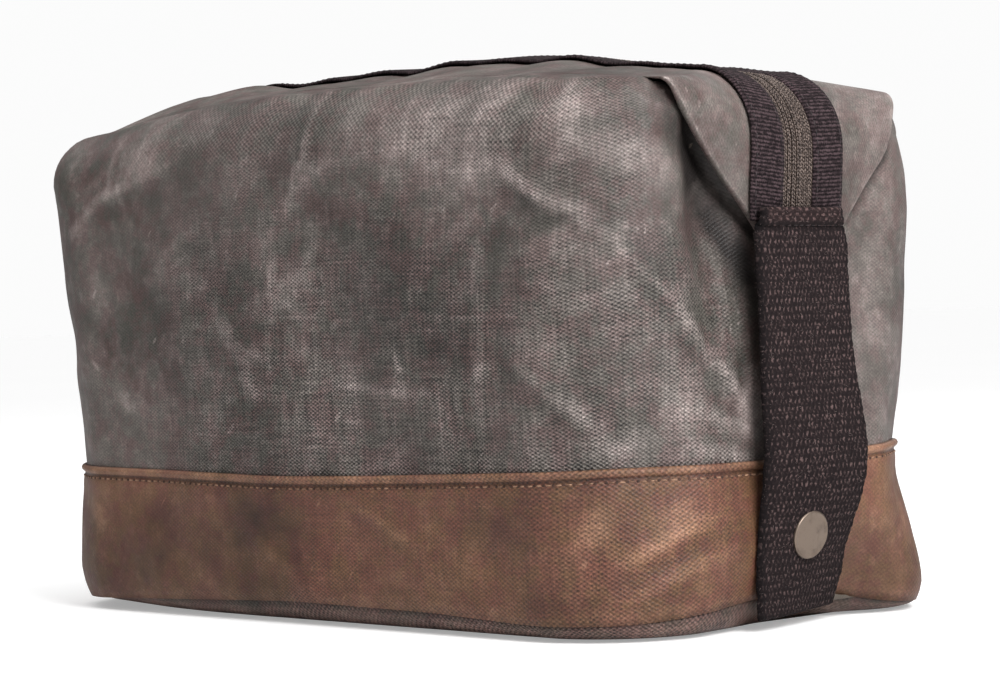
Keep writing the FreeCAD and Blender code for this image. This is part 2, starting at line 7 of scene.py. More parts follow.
import functools
import logging
import math
from dataclasses import dataclass
from enum import Enum
from typing import Callable, Sequence

import bmesh
import bpy
import numpy as np
from mathutils import Matrix, Vector

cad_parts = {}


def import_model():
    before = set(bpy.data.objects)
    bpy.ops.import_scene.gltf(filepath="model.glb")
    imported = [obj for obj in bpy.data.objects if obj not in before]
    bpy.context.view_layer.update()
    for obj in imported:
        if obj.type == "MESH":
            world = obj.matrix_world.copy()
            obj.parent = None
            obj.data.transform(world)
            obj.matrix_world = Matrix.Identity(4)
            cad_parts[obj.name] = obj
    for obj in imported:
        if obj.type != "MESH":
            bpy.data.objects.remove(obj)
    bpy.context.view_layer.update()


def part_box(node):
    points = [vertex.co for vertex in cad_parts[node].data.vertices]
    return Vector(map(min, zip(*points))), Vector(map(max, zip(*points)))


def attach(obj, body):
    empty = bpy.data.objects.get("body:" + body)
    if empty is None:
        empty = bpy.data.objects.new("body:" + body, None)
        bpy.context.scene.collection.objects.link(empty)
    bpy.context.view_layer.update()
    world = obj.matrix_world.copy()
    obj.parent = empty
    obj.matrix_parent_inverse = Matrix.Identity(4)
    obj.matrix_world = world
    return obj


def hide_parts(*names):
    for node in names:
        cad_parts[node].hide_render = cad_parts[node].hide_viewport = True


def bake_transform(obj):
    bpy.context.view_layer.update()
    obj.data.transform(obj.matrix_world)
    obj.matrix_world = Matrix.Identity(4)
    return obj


log = logging.getLogger("wash_bag")
MM = 0.001
Array = np.ndarray
Colour = tuple[float, float, float, float]
Socket = bpy.types.NodeSocket
Rows = tuple[tuple[float, float], ...]


class Named(Enum):
    """A choice whose name is part of the names of nodes, bodies and pieces."""

    @property
    def label(self) -> str:
        """The name in lower case."""
        return self.name.lower()


class Side(Named):
    """The bag's two ends."""

    RIGHT = 1
    LEFT = -1


class Face(Named):
    """The bag's two long sides."""

    FRONT = -1
    BACK = 1


# --- sizes ---------------------------------------------------------------------------------------------------


@dataclass(frozen=True)
class BagSize:
    """The canvas shell."""

    half_length_base: float = 131.3
    half_length_top: float = 132.6
    half_depth_base: float = 69.5
    half_depth_top: float = 74.0
    corner_base: float = 36.0
    corner_top: float = 33.0
    wall_height: float = 150.0
    shoulder: float = 20.0
    shoulder_end: float = 10.0
    shoulder_turn: float = math.radians(83)
    mouth_half: float = 50.5
    overlap_sink: float = 1.8
    mouth_end: float = 95.0
    lining_gap: float = 2.0


@dataclass(frozen=True)
class BandSize:
    """The brown band sewn over the foot of the walls."""

    thickness: float = 1.2
    stitch_drop: float = 3.5
    stitch_lift: float = 1.15
    stitch_pitch: float = 2.9


@dataclass(frozen=True)
class ZipSize:
    """The zip and the two ribbons beside it."""

    ribbon_inner: float = 6.5
    ribbon_outer: float = 19.0
    ribbon_thickness: float = 0.8
    ribbon_lift: float = 1.35
    edge_stitch: float = 1.2
    split: float = -3.0
    split_gap: float = 0.5
    tape_half: float = 7.5
    tape_thickness: float = 0.6
    tape_lift: float = 0.75
    tooth_pitch: float = 1.05
    loop_lift: float = 1.2
    stitch_lift: float = 1.7
    stitch_pitch: float = 2.6


@dataclass(frozen=True)
class EarSize:
    """An end flap, and the hem of the strap that covers its tip."""

    face_x: float = 135.0
    fold_radius: float = 20.5
    corner_radius: float = 5.0
    lean: float = 1.6
    roll: float = 1.1
    room: float = 3.2
    drift: float = 1.5
    hem_height: float = 116.0
    zip_end: float = 112.0
    tip: float = 88.0
    bend_start: tuple[float, float] = (118.0, 160.0)
    bend_end: tuple[float, float] = (134.0, 142.0)


@dataclass(frozen=True)
class StrapSize:
    """A webbing strap."""

    width: float = 38.4
    thickness: float = 1.9
    bottom: float = 3.5
    rib_pitch: float = 2.31
    yarn_pitch: float = 1.71
    hem_foot: float = 112.2
    hem_seam: float = 111.9
    hem_middle: float = 114.3
    crease_x: float = 136.0
    crease: tuple[float, float] = (101.0, 91.0)


@dataclass(frozen=True)
class SnapSize:
    """A press stud."""

    height: float = 26.0


BAG, BAND, ZIP, EAR, STRAP, SNAP = BagSize(), BandSize(), ZipSize(), EarSize(), StrapSize(), SnapSize()


# --- small numeric helpers -----------------------------------------------------------------------------------


def kernel(spread: float, step: float = 1.0) -> Array:
    """Weights of a bell-shaped average over points that are a step apart."""
    taps = np.arange(-int(3 * spread / step), int(3 * spread / step) + 1)
    weights = np.exp(-0.5 * (taps * step / spread) ** 2)
    return weights / weights.sum()


class Table:
    """A smooth curve through a few positions and values.

    Args:
        line: Positions, in rising order, and values, one after another.
        blur: How far the corners are rounded, in the positions' unit.
    """

    def __init__(self, line: Sequence[float], blur: float) -> None:
        xs, ys = line[::2], line[1::2]
        self.x = np.linspace(xs[0] - 4 * blur, xs[-1] + 4 * blur, 2000)
        weights = kernel(blur, self.x[1] - self.x[0])
        padded = np.pad(np.interp(self.x, xs, ys), len(weights) // 2, mode="edge")
        self.y = np.convolve(padded, weights, mode="valid")[: len(self.x)]

    def __call__(self, x: Array | float) -> Array:
        """Reads the curve at x."""
        return np.interp(x, self.x, self.y)


def smooth(x: Array | float, low: float | Array, high: float | Array) -> Array:
    """Rises from 0 at low to 1 at high, with flat ends."""
    t = np.clip((np.asarray(x, float) - low) / (high - low), 0, 1)
    return t * t * (3 - 2 * t)


def bell(x: Array, width: float) -> Array:
    """1 at 0, falling to nothing over about twice the width."""
    return np.exp(-((x / width) ** 2))


class Noise:
    """Smooth gradient noise in space, the same on every run.

    Args:
        seed: Picks one field out of many.
    """

    def __init__(self, seed: int) -> None:
        rng = np.random.default_rng(seed)
        self.order = rng.permutation(256)
        self.slopes = unit(rng.normal(size=(256, 3)))

    def _corner(self, cell: Array, away: Array) -> Array:
        i = self.order[(self.order[(self.order[cell[..., 0] % 256] + cell[..., 1]) % 256] + cell[..., 2]) % 256]
        return (self.slopes[i] * away).sum(-1)

    def __call__(self, points: Array, scale: float | Sequence[float]) -> Array:
        """The noise, about -1 to 1, at points of shape (..., 3), with features about `scale` apart."""
        p = points / np.asarray(scale, float)
        cell = np.floor(p).astype(int)
        f = p - cell
        w = f * f * f * (f * (f * 6 - 15) + 10)
        total = np.zeros(p.shape[:-1])
        for corner in np.ndindex(2, 2, 2):
            c = np.array(corner)
            total += np.prod(np.where(c == 1, w, 1 - w), axis=-1) * self._corner(cell + c, f - c)
        return total * 1.6


def solid(node: str) -> tuple[Array, Array]:
    """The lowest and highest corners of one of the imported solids, in millimetres."""
    low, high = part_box(node)
    return np.array(low, float) / MM, np.array(high, float) / MM


def unit(v: Array) -> Array:
    """Vectors of length 1 along the last axis."""
    return v / np.maximum(np.linalg.norm(v, axis=-1, keepdims=True), 1e-9)


def distances(points: Array) -> Array:
    """How far along a line of points each of them is."""
    return np.concatenate([[0], np.cumsum(np.linalg.norm(np.diff(points, axis=0), axis=-1))])


def mesh_of(a: Array, b: Array) -> tuple[Array, Array]:
    """Two rows of numbers spread over a grid, a along its first axis and b along its second."""
    return np.meshgrid(a, b, indexing="ij")


def squared(angle: Array, power: float) -> tuple[Array, Array]:
    """Cosine and sine of an angle, pushed out from a circle towards a square."""
    return tuple(np.sign(v) * np.abs(v) ** power for v in (np.cos(angle), np.sin(angle)))


# --- meshes --------------------------------------------------------------------------------------------------


@dataclass
class Patch:
    """A grid of surface points with texture coordinates.

    Attributes:
        points: Shape (n, m, 3), in millimetres.
        uv: Shape (n, m, 2), in millimetres along the cloth.
        wrap: True if the last row of n joins the first.
        wear: Shape (n, m), above 0 where the cloth is paler, from rubs and painted highlights, and below 0 where it is
            darker, from dark wax and painted shade.
    """

    points: Array
    uv: Array
    wrap: bool = False
    wear: Array | None = None


def link(name: str, data: bpy.types.ID) -> bpy.types.Object:
    """A new object in the scene."""
    thing = bpy.data.objects.new(name, data)
    bpy.context.scene.collection.objects.link(thing)
    return thing


def make_object(name: str, vertices: Array, faces: Sequence[Sequence[int]], uv: Array | None = None,
                wear: Array | None = None) -> bpy.types.Object:
    """A smooth-shaded mesh object.

    Args:
        name: The piece's name.
        vertices: Shape (k, 3), in millimetres.
        faces: Vertex numbers of each face.
        uv: Shape (k, 2), in millimetres, or None.
        wear: Shape (k,), -1 to 1, or None.

    Returns:
        The new object.
    """
    mesh = bpy.data.meshes.new(name)
    mesh.from_pydata((vertices * MM).tolist(), [], [list(map(int, f)) for f in faces])
    mesh.update()
    mesh.polygons.foreach_set("use_smooth", np.ones(len(mesh.polygons), bool))
    if uv is not None:
        corner = np.empty(len(mesh.loops), np.int32)
        mesh.loops.foreach_get("vertex_index", corner)
        layer = mesh.uv_layers.new(name="cloth")
        layer.data.foreach_set("uv", (uv[corner] * MM).astype(np.float32).ravel())
    # The wear attribute holds rubs and dark wax, and also painted shade and painted highlights.
    values = np.zeros(len(vertices)) if wear is None else np.clip(wear, -1, 1)
    layer = mesh.attributes.new("wear", "FLOAT", "POINT")
    layer.data.foreach_set("value", values.astype(np.float32))
    return link(name, mesh)


def grid_faces(n: int, m: int, wrap: bool = False, start: int = 0, flip: bool = False) -> list[tuple[int, ...]]:
    """Quads of an n by m grid of vertices, numbered from start."""
    i, j = mesh_of(np.arange(n if wrap else n - 1), np.arange(m - 1))
    a, b = i * m + j, ((i + 1) % n) * m + j
    quads = np.stack([a, b, b + 1, a + 1], -1).reshape(-1, 4) + start
    return [tuple(q) for q in (quads[:, ::-1] if flip else quads).tolist()]


def ring_faces(rings: int, sides: int, joined: bool = False, flip: bool = False) -> list[tuple[int, ...]]:
    """Faces between rings of vertices, with caps on both ends unless the last ring joins the first."""
    faces = []
    for i in range(rings - (not joined)):
        for j in range(sides):
            a, b, k = i * sides, (i + 1) % rings * sides, (j + 1) % sides
            faces.append((a + j, b + j, b + k, a + k) if flip else (a + j, a + k, b + k, b + j))
    if not joined:
        first, last = tuple(range(sides)), tuple(range((rings - 1) * sides, rings * sides))
        faces += [first, last[::-1]] if flip else [first[::-1], last]
    return faces


def face_out(thing: bpy.types.Object) -> bpy.types.Object:
    """Turns every face of a closed mesh outwards."""
    work = bmesh.new()
    work.from_mesh(thing.data)
    bmesh.ops.recalc_face_normals(work, faces=work.faces)
    work.to_mesh(thing.data)
    work.free()
    return thing


def skin(name: str, patch: Patch, flip: bool = False) -> bpy.types.Object:
    """A single-layer surface, for cloth whose edges are all covered."""
    n, m = patch.points.shape[:2]
    wear = None if patch.wear is None else patch.wear.reshape(-1)
    return make_object(name, patch.points.reshape(-1, 3), grid_faces(n, m, patch.wrap, flip=flip),
                       patch.uv.reshape(-1, 2), wear)


def thick(name: str, patch: Patch, thickness: float) -> bpy.types.Object:
    """A cloth piece with two faces and a rounded rim.

    Args:
        name: The piece's name.
        patch: Its middle surface, facing outwards.
        thickness: In millimetres.

    Returns:
        The new object.
    """
    n, m = patch.points.shape[:2]
    normals = unit(np.cross(np.gradient(patch.points, axis=0), np.gradient(patch.points, axis=1)))
    lift = (normals * thickness * 0.5).reshape(-1, 3)
    middle, uv = patch.points.reshape(-1, 3), patch.uv.reshape(-1, 2)
    grid = np.arange(n * m).reshape(n, m)
    rim = np.concatenate([grid[:, 0], grid[-1, 1:], grid[-2::-1, -1], grid[0, -2:0:-1]])
    edge = middle[rim]
    out = unit(np.cross(unit(np.roll(edge, -1, 0) - np.roll(edge, 1, 0)), normals.reshape(-1, 3)[rim]))
    if (out * (edge - patch.points.mean((0, 1)))).sum() < 0:
        out = -out
    count, k = n * m, len(rim)
    faces = grid_faces(n, m) + grid_faces(n, m, start=count, flip=True)
    for a in range(k):
        b, base = (a + 1) % k, 2 * count
        faces += [(rim[a], rim[b], base + b, base + a), (base + a, base + b, count + rim[b], count + rim[a])]
    wear = None
    if patch.wear is not None:
        worn = patch.wear.reshape(-1)
        wear = np.concatenate([worn, worn, worn[rim]])
    return face_out(make_object(name, np.vstack([middle + lift, middle - lift, edge + out * (thickness / 2) * 0.9]),
                                faces, np.vstack([uv, uv, uv[rim]]), wear))


def beads(name: str, places: Array, along: Array, up: Array, size: tuple[float, float, float],
          bend: float = 0.0) -> bpy.types.Object:
    """Many small rounded bars in one mesh, for stitches, fibres and zip loops.

    Args:
        name: The piece's name.
        places: Shape (k, 3), the bars' middles.
        along: Shape (k, 3), which way each bar runs.
        up: Shape (k, 3), which way each bar's top faces.
        size: Length, width and height.
        bend: How far the ends drop below the middle, in millimetres.

    Returns:
        The new object.
    """
    rings, sides = 7, 6
    s = np.linspace(-1, 1, rings)[:, None]
    radius = np.sqrt(np.clip(1 - np.abs(s) ** 3.2, 0.02, 1))
    angle = np.arange(sides) * 2 * np.pi / sides
    local = np.stack(np.broadcast_arrays(s * size[0] / 2, radius * np.cos(angle) * size[1] / 2,
                                         radius * np.sin(angle) * size[2] / 2 - bend * s ** 2), -1).reshape(-1, 3)
    along, up = unit(along), unit(up)
    side = unit(np.cross(up, along))
    vertices = places[:, None] + sum(local[None, :, k:k + 1] * axis[:, None] for k, axis in
                                     enumerate((along, side, np.cross(along, side))))
    base = ring_faces(rings, sides, flip=True)
    faces = [tuple(v + k * rings * sides for v in f) for k in range(len(places)) for f in base]
    return make_object(name, vertices.reshape(-1, 3), faces)


def lathe(name: str, profile: Sequence[tuple[float, float]], centre: Array, out: Array,
          sides: int) -> bpy.types.Object:
    """A turned piece.

    Args:
        name: The piece's name.
        profile: (radius, height along out) pairs from the middle of the top round to the middle of the foot.
        centre: Where height 0 is.
        out: The axis, of length 1.
        sides: Points round the axis.

    Returns:
        The new object.
    """
    first = unit(np.cross(out, [0.0, 0.0, 1.0]))
    angle = (np.arange(sides) * 2 * np.pi / sides)[:, None]
    ring = np.cos(angle) * first + np.sin(angle) * np.cross(out, first)
    vertices = np.vstack([centre + r * ring + h * out for r, h in profile])
    return face_out(make_object(name, vertices, ring_faces(len(profile), sides)))


# --- the bag's form ------------------------------------------------------------------------------------------


@dataclass(frozen=True)
class Fold:
    """A fold in the cloth of the walls, with a change of colour along it, along a line drawn on the unrolled bag.

    Attributes:
        height: How far it stands out, or sinks in if negative, in millimetres.
        width: Its half-width.
        rub: How much paler its colour is, or darker if negative. It holds real rubs and dark wax, and also painted
            shade in creases and beside the flaps and the straps, and painted highlights.
        line: Distance round the plan, and height, of the points it runs through, one after another.
    """

    height: float
    width: float
    rub: float
    line: tuple[float, ...]


# Where a row sinks in and is darkened, the dark is painted shade in its crease.
FOLDS = tuple(Fold(*row[:3], row[3:]) for row in (
    # The left half of the front.
    (1.3, 2.4, 0.55, 288, 119, 270, 130, 246, 136, 229, 143), (-1.0, 6, -0.35, 283, 137, 266, 142, 246, 145),
    (-0.6, 5, -0.2, 279, 125, 255, 127, 228, 132), (0.3, 1.6, 0.4, 275, 142, 274, 134),
    (0.3, 1.6, 0.4, 265, 141, 266, 133), (0.5, 3, 0.4, 228, 143, 216, 146),
    (1.3, 2.8, 0.4, 202, 139, 183, 144, 155, 152), (-0.8, 5, -0.2, 195, 134, 166, 143, 148, 150),
    (0.5, 1.6, 0.5, 184, 121, 181, 132, 171, 142, 158, 150), (0.3, 4.5, 0.35, 279, 97, 276, 106),
    (0.2, 3.4, 0.6, 269, 69, 263, 64), (0.2, 2.2, 0.35, 251, 101, 248, 105), (0.2, 2, 0.35, 266, 122, 264, 120),
    (0.4, 3, 0.25, 244, 108, 228, 118), (0.6, 3.4, 0.4, 215, 90, 208, 80, 202, 68),
    (0.2, 3.6, 0.45, 206, 71, 199, 68), (0.3, 2.4, 0.28, 212, 83, 192, 78, 177, 81),
    (0.0, 12, -0.22, 250, 92, 225, 74), (0.0, 12, -0.2, 240, 122, 205, 112), (0.0, 9, -0.2, 275, 84, 250, 80),
    (0.5, 3, 0.25, 290, 54, 278, 48), (0.0, 0.9, 0.6, 281, 79, 277, 76),
    # The middle and the right half of the front.
    (0.4, 2.4, 0.48, 193, 96, 190, 109), (0.5, 3, 0.48, 190, 98, 178, 104, 172, 111),
    (0.3, 2.6, 0.3, 199, 91, 184, 95, 174, 102), (0.6, 3.6, 0.35, 180, 129, 163, 135, 147, 140),
    (0.5, 1.7, 0.42, 140, 134, 135, 136, 130, 145, 118, 151), (-0.7, 5, -0.2, 127, 139, 108, 148),
    (0.3, 4.5, 0.4, 114, 130, 99, 133), (1.2, 2.4, 0.6, 101, 132, 92, 127, 80, 119, 66, 116),
    (-0.8, 4, -0.28, 98, 124, 82, 115), (-1.0, 5, -0.3, 92, 141, 76, 149),
    (1.2, 7, 0.76, 78, 138, 66, 134, 52, 131, 40, 128), (0.4, 2.2, 0.4, 80, 132, 70, 142, 62, 148),
    (1.1, 2.6, 0.42, 77, 120, 62, 108, 46, 92, 27, 72), (0.5, 2.2, 0.3, 72, 126, 60, 118, 61, 103),
    (-0.7, 5, -0.15, 66, 120, 48, 106, 40, 92), (0.5, 4, 0.3, 85, 98, 72, 92, 60, 94),
    (0.4, 4, 0.25, 88, 107, 76, 110, 66, 104), (0.4, 3.4, 0.28, 107, 48, 106, 76, 104, 112),
    (0.2, 4, 0.35, 107, 97, 106, 109), (0.3, 3, 0.4, 108, 72, 100, 76), (0.9, 2.4, 0.4, 97, 80, 86, 72, 78, 65),
    (0.8, 3.4, 0.85, 79, 66, 73, 62, 68, 57), (0.3, 3, 0.5, 72, 54, 62, 52, 55, 56),
    (0.9, 3, 0.7, 36, 62, 24, 57, 12, 52), (0.5, 3, 0.6, 42, 53, 28, 50, 16, 48),
    (1.0, 2.2, 0.7, 28, 73, 22, 66, 18, 56), (-1.4, 2.2, -0.6, 20, 78, 20, 70, 22, 64), (0.7, 3, 0.5, 33, 76, 26, 72),
    (0.4, 3, 0.4, 44, 91, 40, 83, 36, 80), (0.6, 2, 0.25, 30, 112, 24, 104, 23, 92, 26, 82),
    # Painted shadow under the right flap's front edge: a sunk dark groove, a near-black line, a broad dark band beside
    # it, and painted shade beside the strap.
    (-2.2, 3.2, -0.8, 44, 157, 34.8, 144.8, 29.2, 136.8, 24.3, 128.8, 19.2, 120.7, 12.9, 111.6, 7, 102),
    (-0.4, 1.7, -1.6, 47, 161, 34.8, 144.8, 29.2, 136.8, 24.3, 128.8, 19.2, 120.7, 12.9, 111.6, 4, 97),
    (-1.5, 8, -0.85, 46, 150, 40, 140, 33, 130, 27, 120, 21, 108, 15, 94, 12, 84), (0.0, 7, 0.55, 24, 74, 12, 52),
    (-0.3, 4, -0.6, 36, 138, 28, 124, 20, 110, 12, 94, 9, 80), (0.4, 5, -0.35, 62, 118, 50, 96, 40, 78),
    # The first row here is a painted sheen on the front's upper right.
    (0.3, 13, 0.62, 142, 142, 118, 135, 98, 130), (0.0, 8, 0.34, 52, 92, 41, 56),
    (0.0, 9, -0.3, 150, 108, 128, 96, 112, 84), (0.0, 10, -0.28, 226, 112, 206, 100, 190, 92),
    # The second row here is painted shade under the right flap.
    (0.3, 5, -0.3, 100, 90, 84, 70, 74, 60), (-1.2, 8, -0.15, 36, 118, 30, 100),
    (0.3, 1.8, 0.6, 166, 71, 146, 69, 124, 68), (0.2, 3.6, 0.4, 159, 73, 157, 67), (0.2, 3, 0.3, 157, 64, 156, 54),
    (0.0, 1, 0.5, 128, 89, 93, 89), (0.0, 1, 0.35, 196, 91, 168, 90), (0.0, 1.2, 0.8, 139, 79, 138, 75, 136, 75),
    (0.0, 1.1, 0.8, 166, 87, 161, 90), (0.0, 1, 0.7, 149, 89, 147, 90), (0.2, 2.2, 0.45, 134, 96, 131, 97),
    (0.3, 4, 0.25, 126, 106, 112, 112, 104, 120), (0.0, 14, -0.22, 165, 112, 128, 80),
    (0.0, 8, -0.22, 155, 56, 118, 54), (0.0, 8, -0.18, 60, 86, 50, 70), (0.0, 7, -0.18, 100, 56, 92, 92),
    # The band.
    (0.5, 1.8, 0.5, 163, 38, 148, 31, 132, 24), (0.8, 4, 0.5, 78, 21, 70, 33, 64, 40),
    (1.0, 2.4, 0.6, 66, 20, 50, 28, 34, 34), (0.8, 2.4, 0.5, 60, 13, 46, 19, 28, 24),
    (-1.1, 3, -0.35, 60, 17, 46, 23, 30, 29), (0.5, 3, 0.4, 52, 34, 40, 38), (0.2, 6, 0.3, 152, 14, 124, 12),
    (0.2, 5, 0.3, 282, 22, 276, 34, 284, 42), (0.4, 3, 0.3, 208, 30, 196, 20, 184, 12),
    (0.0, 10, -0.35, 262, 30, 226, 34), (0.0, 9, -0.45, 215, 26, 190, 32), (0.0, 6, -0.4, 95, 11, 74, 9),
    (0.0, 5, -0.35, 66, 19, 60, 14), (0.0, 9, -0.3, 110, 34, 84, 24), (0.0, 5, -0.5, 258, 13, 244, 21),
    (0.0, 4, 0.32, 286, 34, 277, 27), (0.0, 4.5, 0.3, 234, 17, 222, 10), (0.0, 4.5, -0.45, 211, 40, 200, 28),
    (0.0, 4, 0.28, 262, 40, 250, 36),
    # The left end.
    (-1.4, 8, -0.15, 346, 70, 356, 112), (0.8, 4, 0.4, 392, 58, 405, 92),
    # The right end behind the strap, with a painted shadow along the right flap's back edge, and the top's front edge.
    (-0.4, 1.8, -1.2, 707, 148, 703, 139, 706, 131, 713, 123, 720, 114), (0.0, 24, 0.3, 706, 55, 712, 95, 700, 125),
    (0.0, 16, 0.3, 690, 14, 712, 34), (0.0, 7, 0.3, 278, 146, 200, 150, 130, 153), (0.0, 12, 0.22, 108, 128, 92, 141),
    (0.8, 3, 0.45, 330, 60, 344, 76, 352, 98), (0.5, 3, 0.4, 372, 52, 386, 66),
    (0.8, 3, 0.4, 310, 96, 322, 112, 338, 122), (0.6, 3, 0.4, 336, 20, 352, 32),
))
BACK_SHIFT = 13.0
"""How far the back's folds are shifted from the front's."""
BAND_FOLDS_BELOW = 46
"""Folds that begin lower than this lie on the band. The others are squeezed a little on the back."""


class TopMap:
    """The height of the top and its shoulders, smooth over x and y, from a few measured rows.

    ROWS has x and height pairs, one after another, for each y.
    """

    REACH_X, REACH_Y = 150, 90
    ROWS: dict[int, tuple[float, ...]] = {
        -57: (-134, 146.5, -115, 149.8, -99, 151.5, -84, 153.8, -68, 155.3, -38, 156.8, 40, 157, 80, 155.8,
              100, 154.2, 118, 152.6, 134, 151.5),
        -40: (-134, 150, -121, 153.5, -105, 157.4, -90, 160.4, -74, 161.6, -59, 161.6, -20, 160.5, 50, 160.3, 80, 158,
              100, 156, 118, 154, 134, 152.5),
        -25: (-134, 152.5, -124, 156.6, -108, 161.8, -93, 164.6, -77, 165.4, -62, 165.2, -47, 164.6, -33, 163.3,
              30, 163.2, 47, 162.8, 60, 161.8, 84, 159.5, 107, 156.8, 134, 153.3),
        -19: (-134, 153, -124, 156.8, -108, 160.2, -93, 162.3, -77, 163.6, -47, 164.2, 30, 164, 47, 163.4, 60, 162.6,
              84, 160, 107, 156.8, 134, 153.4),
        -6: (-134, 153.5, -124, 156.5, -112, 158, -100, 158.6, -90, 158.9, -76, 159.8, -64, 161.7, -52, 164.1,
             -40, 165.2, 0, 165, 30, 165.5, 47, 164.9, 60, 163.3, 72, 161.3, 84, 159, 95, 157, 107, 155.3, 118, 154.1,
             134, 153.1),
        6: (-134, 153.5, -124, 156.5, -112, 158, -100, 158.6, -90, 158.9, -76, 159.6, -64, 161.4, -52, 163.7,
            -40, 164.8, 0, 164.6, 30, 165, 47, 164.4, 60, 163, 72, 161.1, 84, 158.9, 95, 157, 107, 155.2, 118, 154,
            134, 153),
        19: (-134, 152.6, -106, 159.4, -70, 162, -40, 163.6, 30, 163.8, 60, 162, 84, 159.2, 107, 155.9, 134, 152.7),
        40: (-134, 149.5, -90, 157, -30, 160.3, 40, 160, 84, 156.8, 107, 154.2, 134, 150.6),
        57: (-134, 147.5, -90, 153, -30, 156.5, 40, 156.5, 90, 153.4, 118, 150.8, 134, 149.5),
    }

    def __init__(self) -> None:
        x, y = (np.arange(-reach, reach + 1, 1.0) for reach in (self.REACH_X, self.REACH_Y))
        rows = np.array([np.interp(x, row[::2], row[1::2]) for row in self.ROWS.values()])
        grid = np.array([np.interp(y, list(self.ROWS), column) for column in rows.T])
        self.z = self._blur(self._blur(grid, 4.0).T, 3.0).T

    @staticmethod
    def _blur(grid: Array, spread: float) -> Array:
        """Rounds a grid's corners along its first axis."""
        weights = kernel(spread)
        padded = np.pad(grid, ((len(weights) // 2,) * 2, (0, 0)), mode="edge")
        return sum(k * padded[i: i + len(grid)] for i, k in enumerate(weights))

    def __call__(self, x: Array, y: Array) -> Array:
        """The height at x, y."""
        z = self.z
        u, v = (np.clip(value + reach, 0, count - 1.001) for value, reach, count in
                ((x, self.REACH_X, z.shape[0]), (y, self.REACH_Y, z.shape[1])))
        i, j = u.astype(int), v.astype(int)
        a, b = u - i, v - j
        return ((z[i, j] * (1 - b) + z[i, j + 1] * b) * (1 - a) + (z[i + 1, j] * (1 - b) + z[i + 1, j + 1] * b) * a)


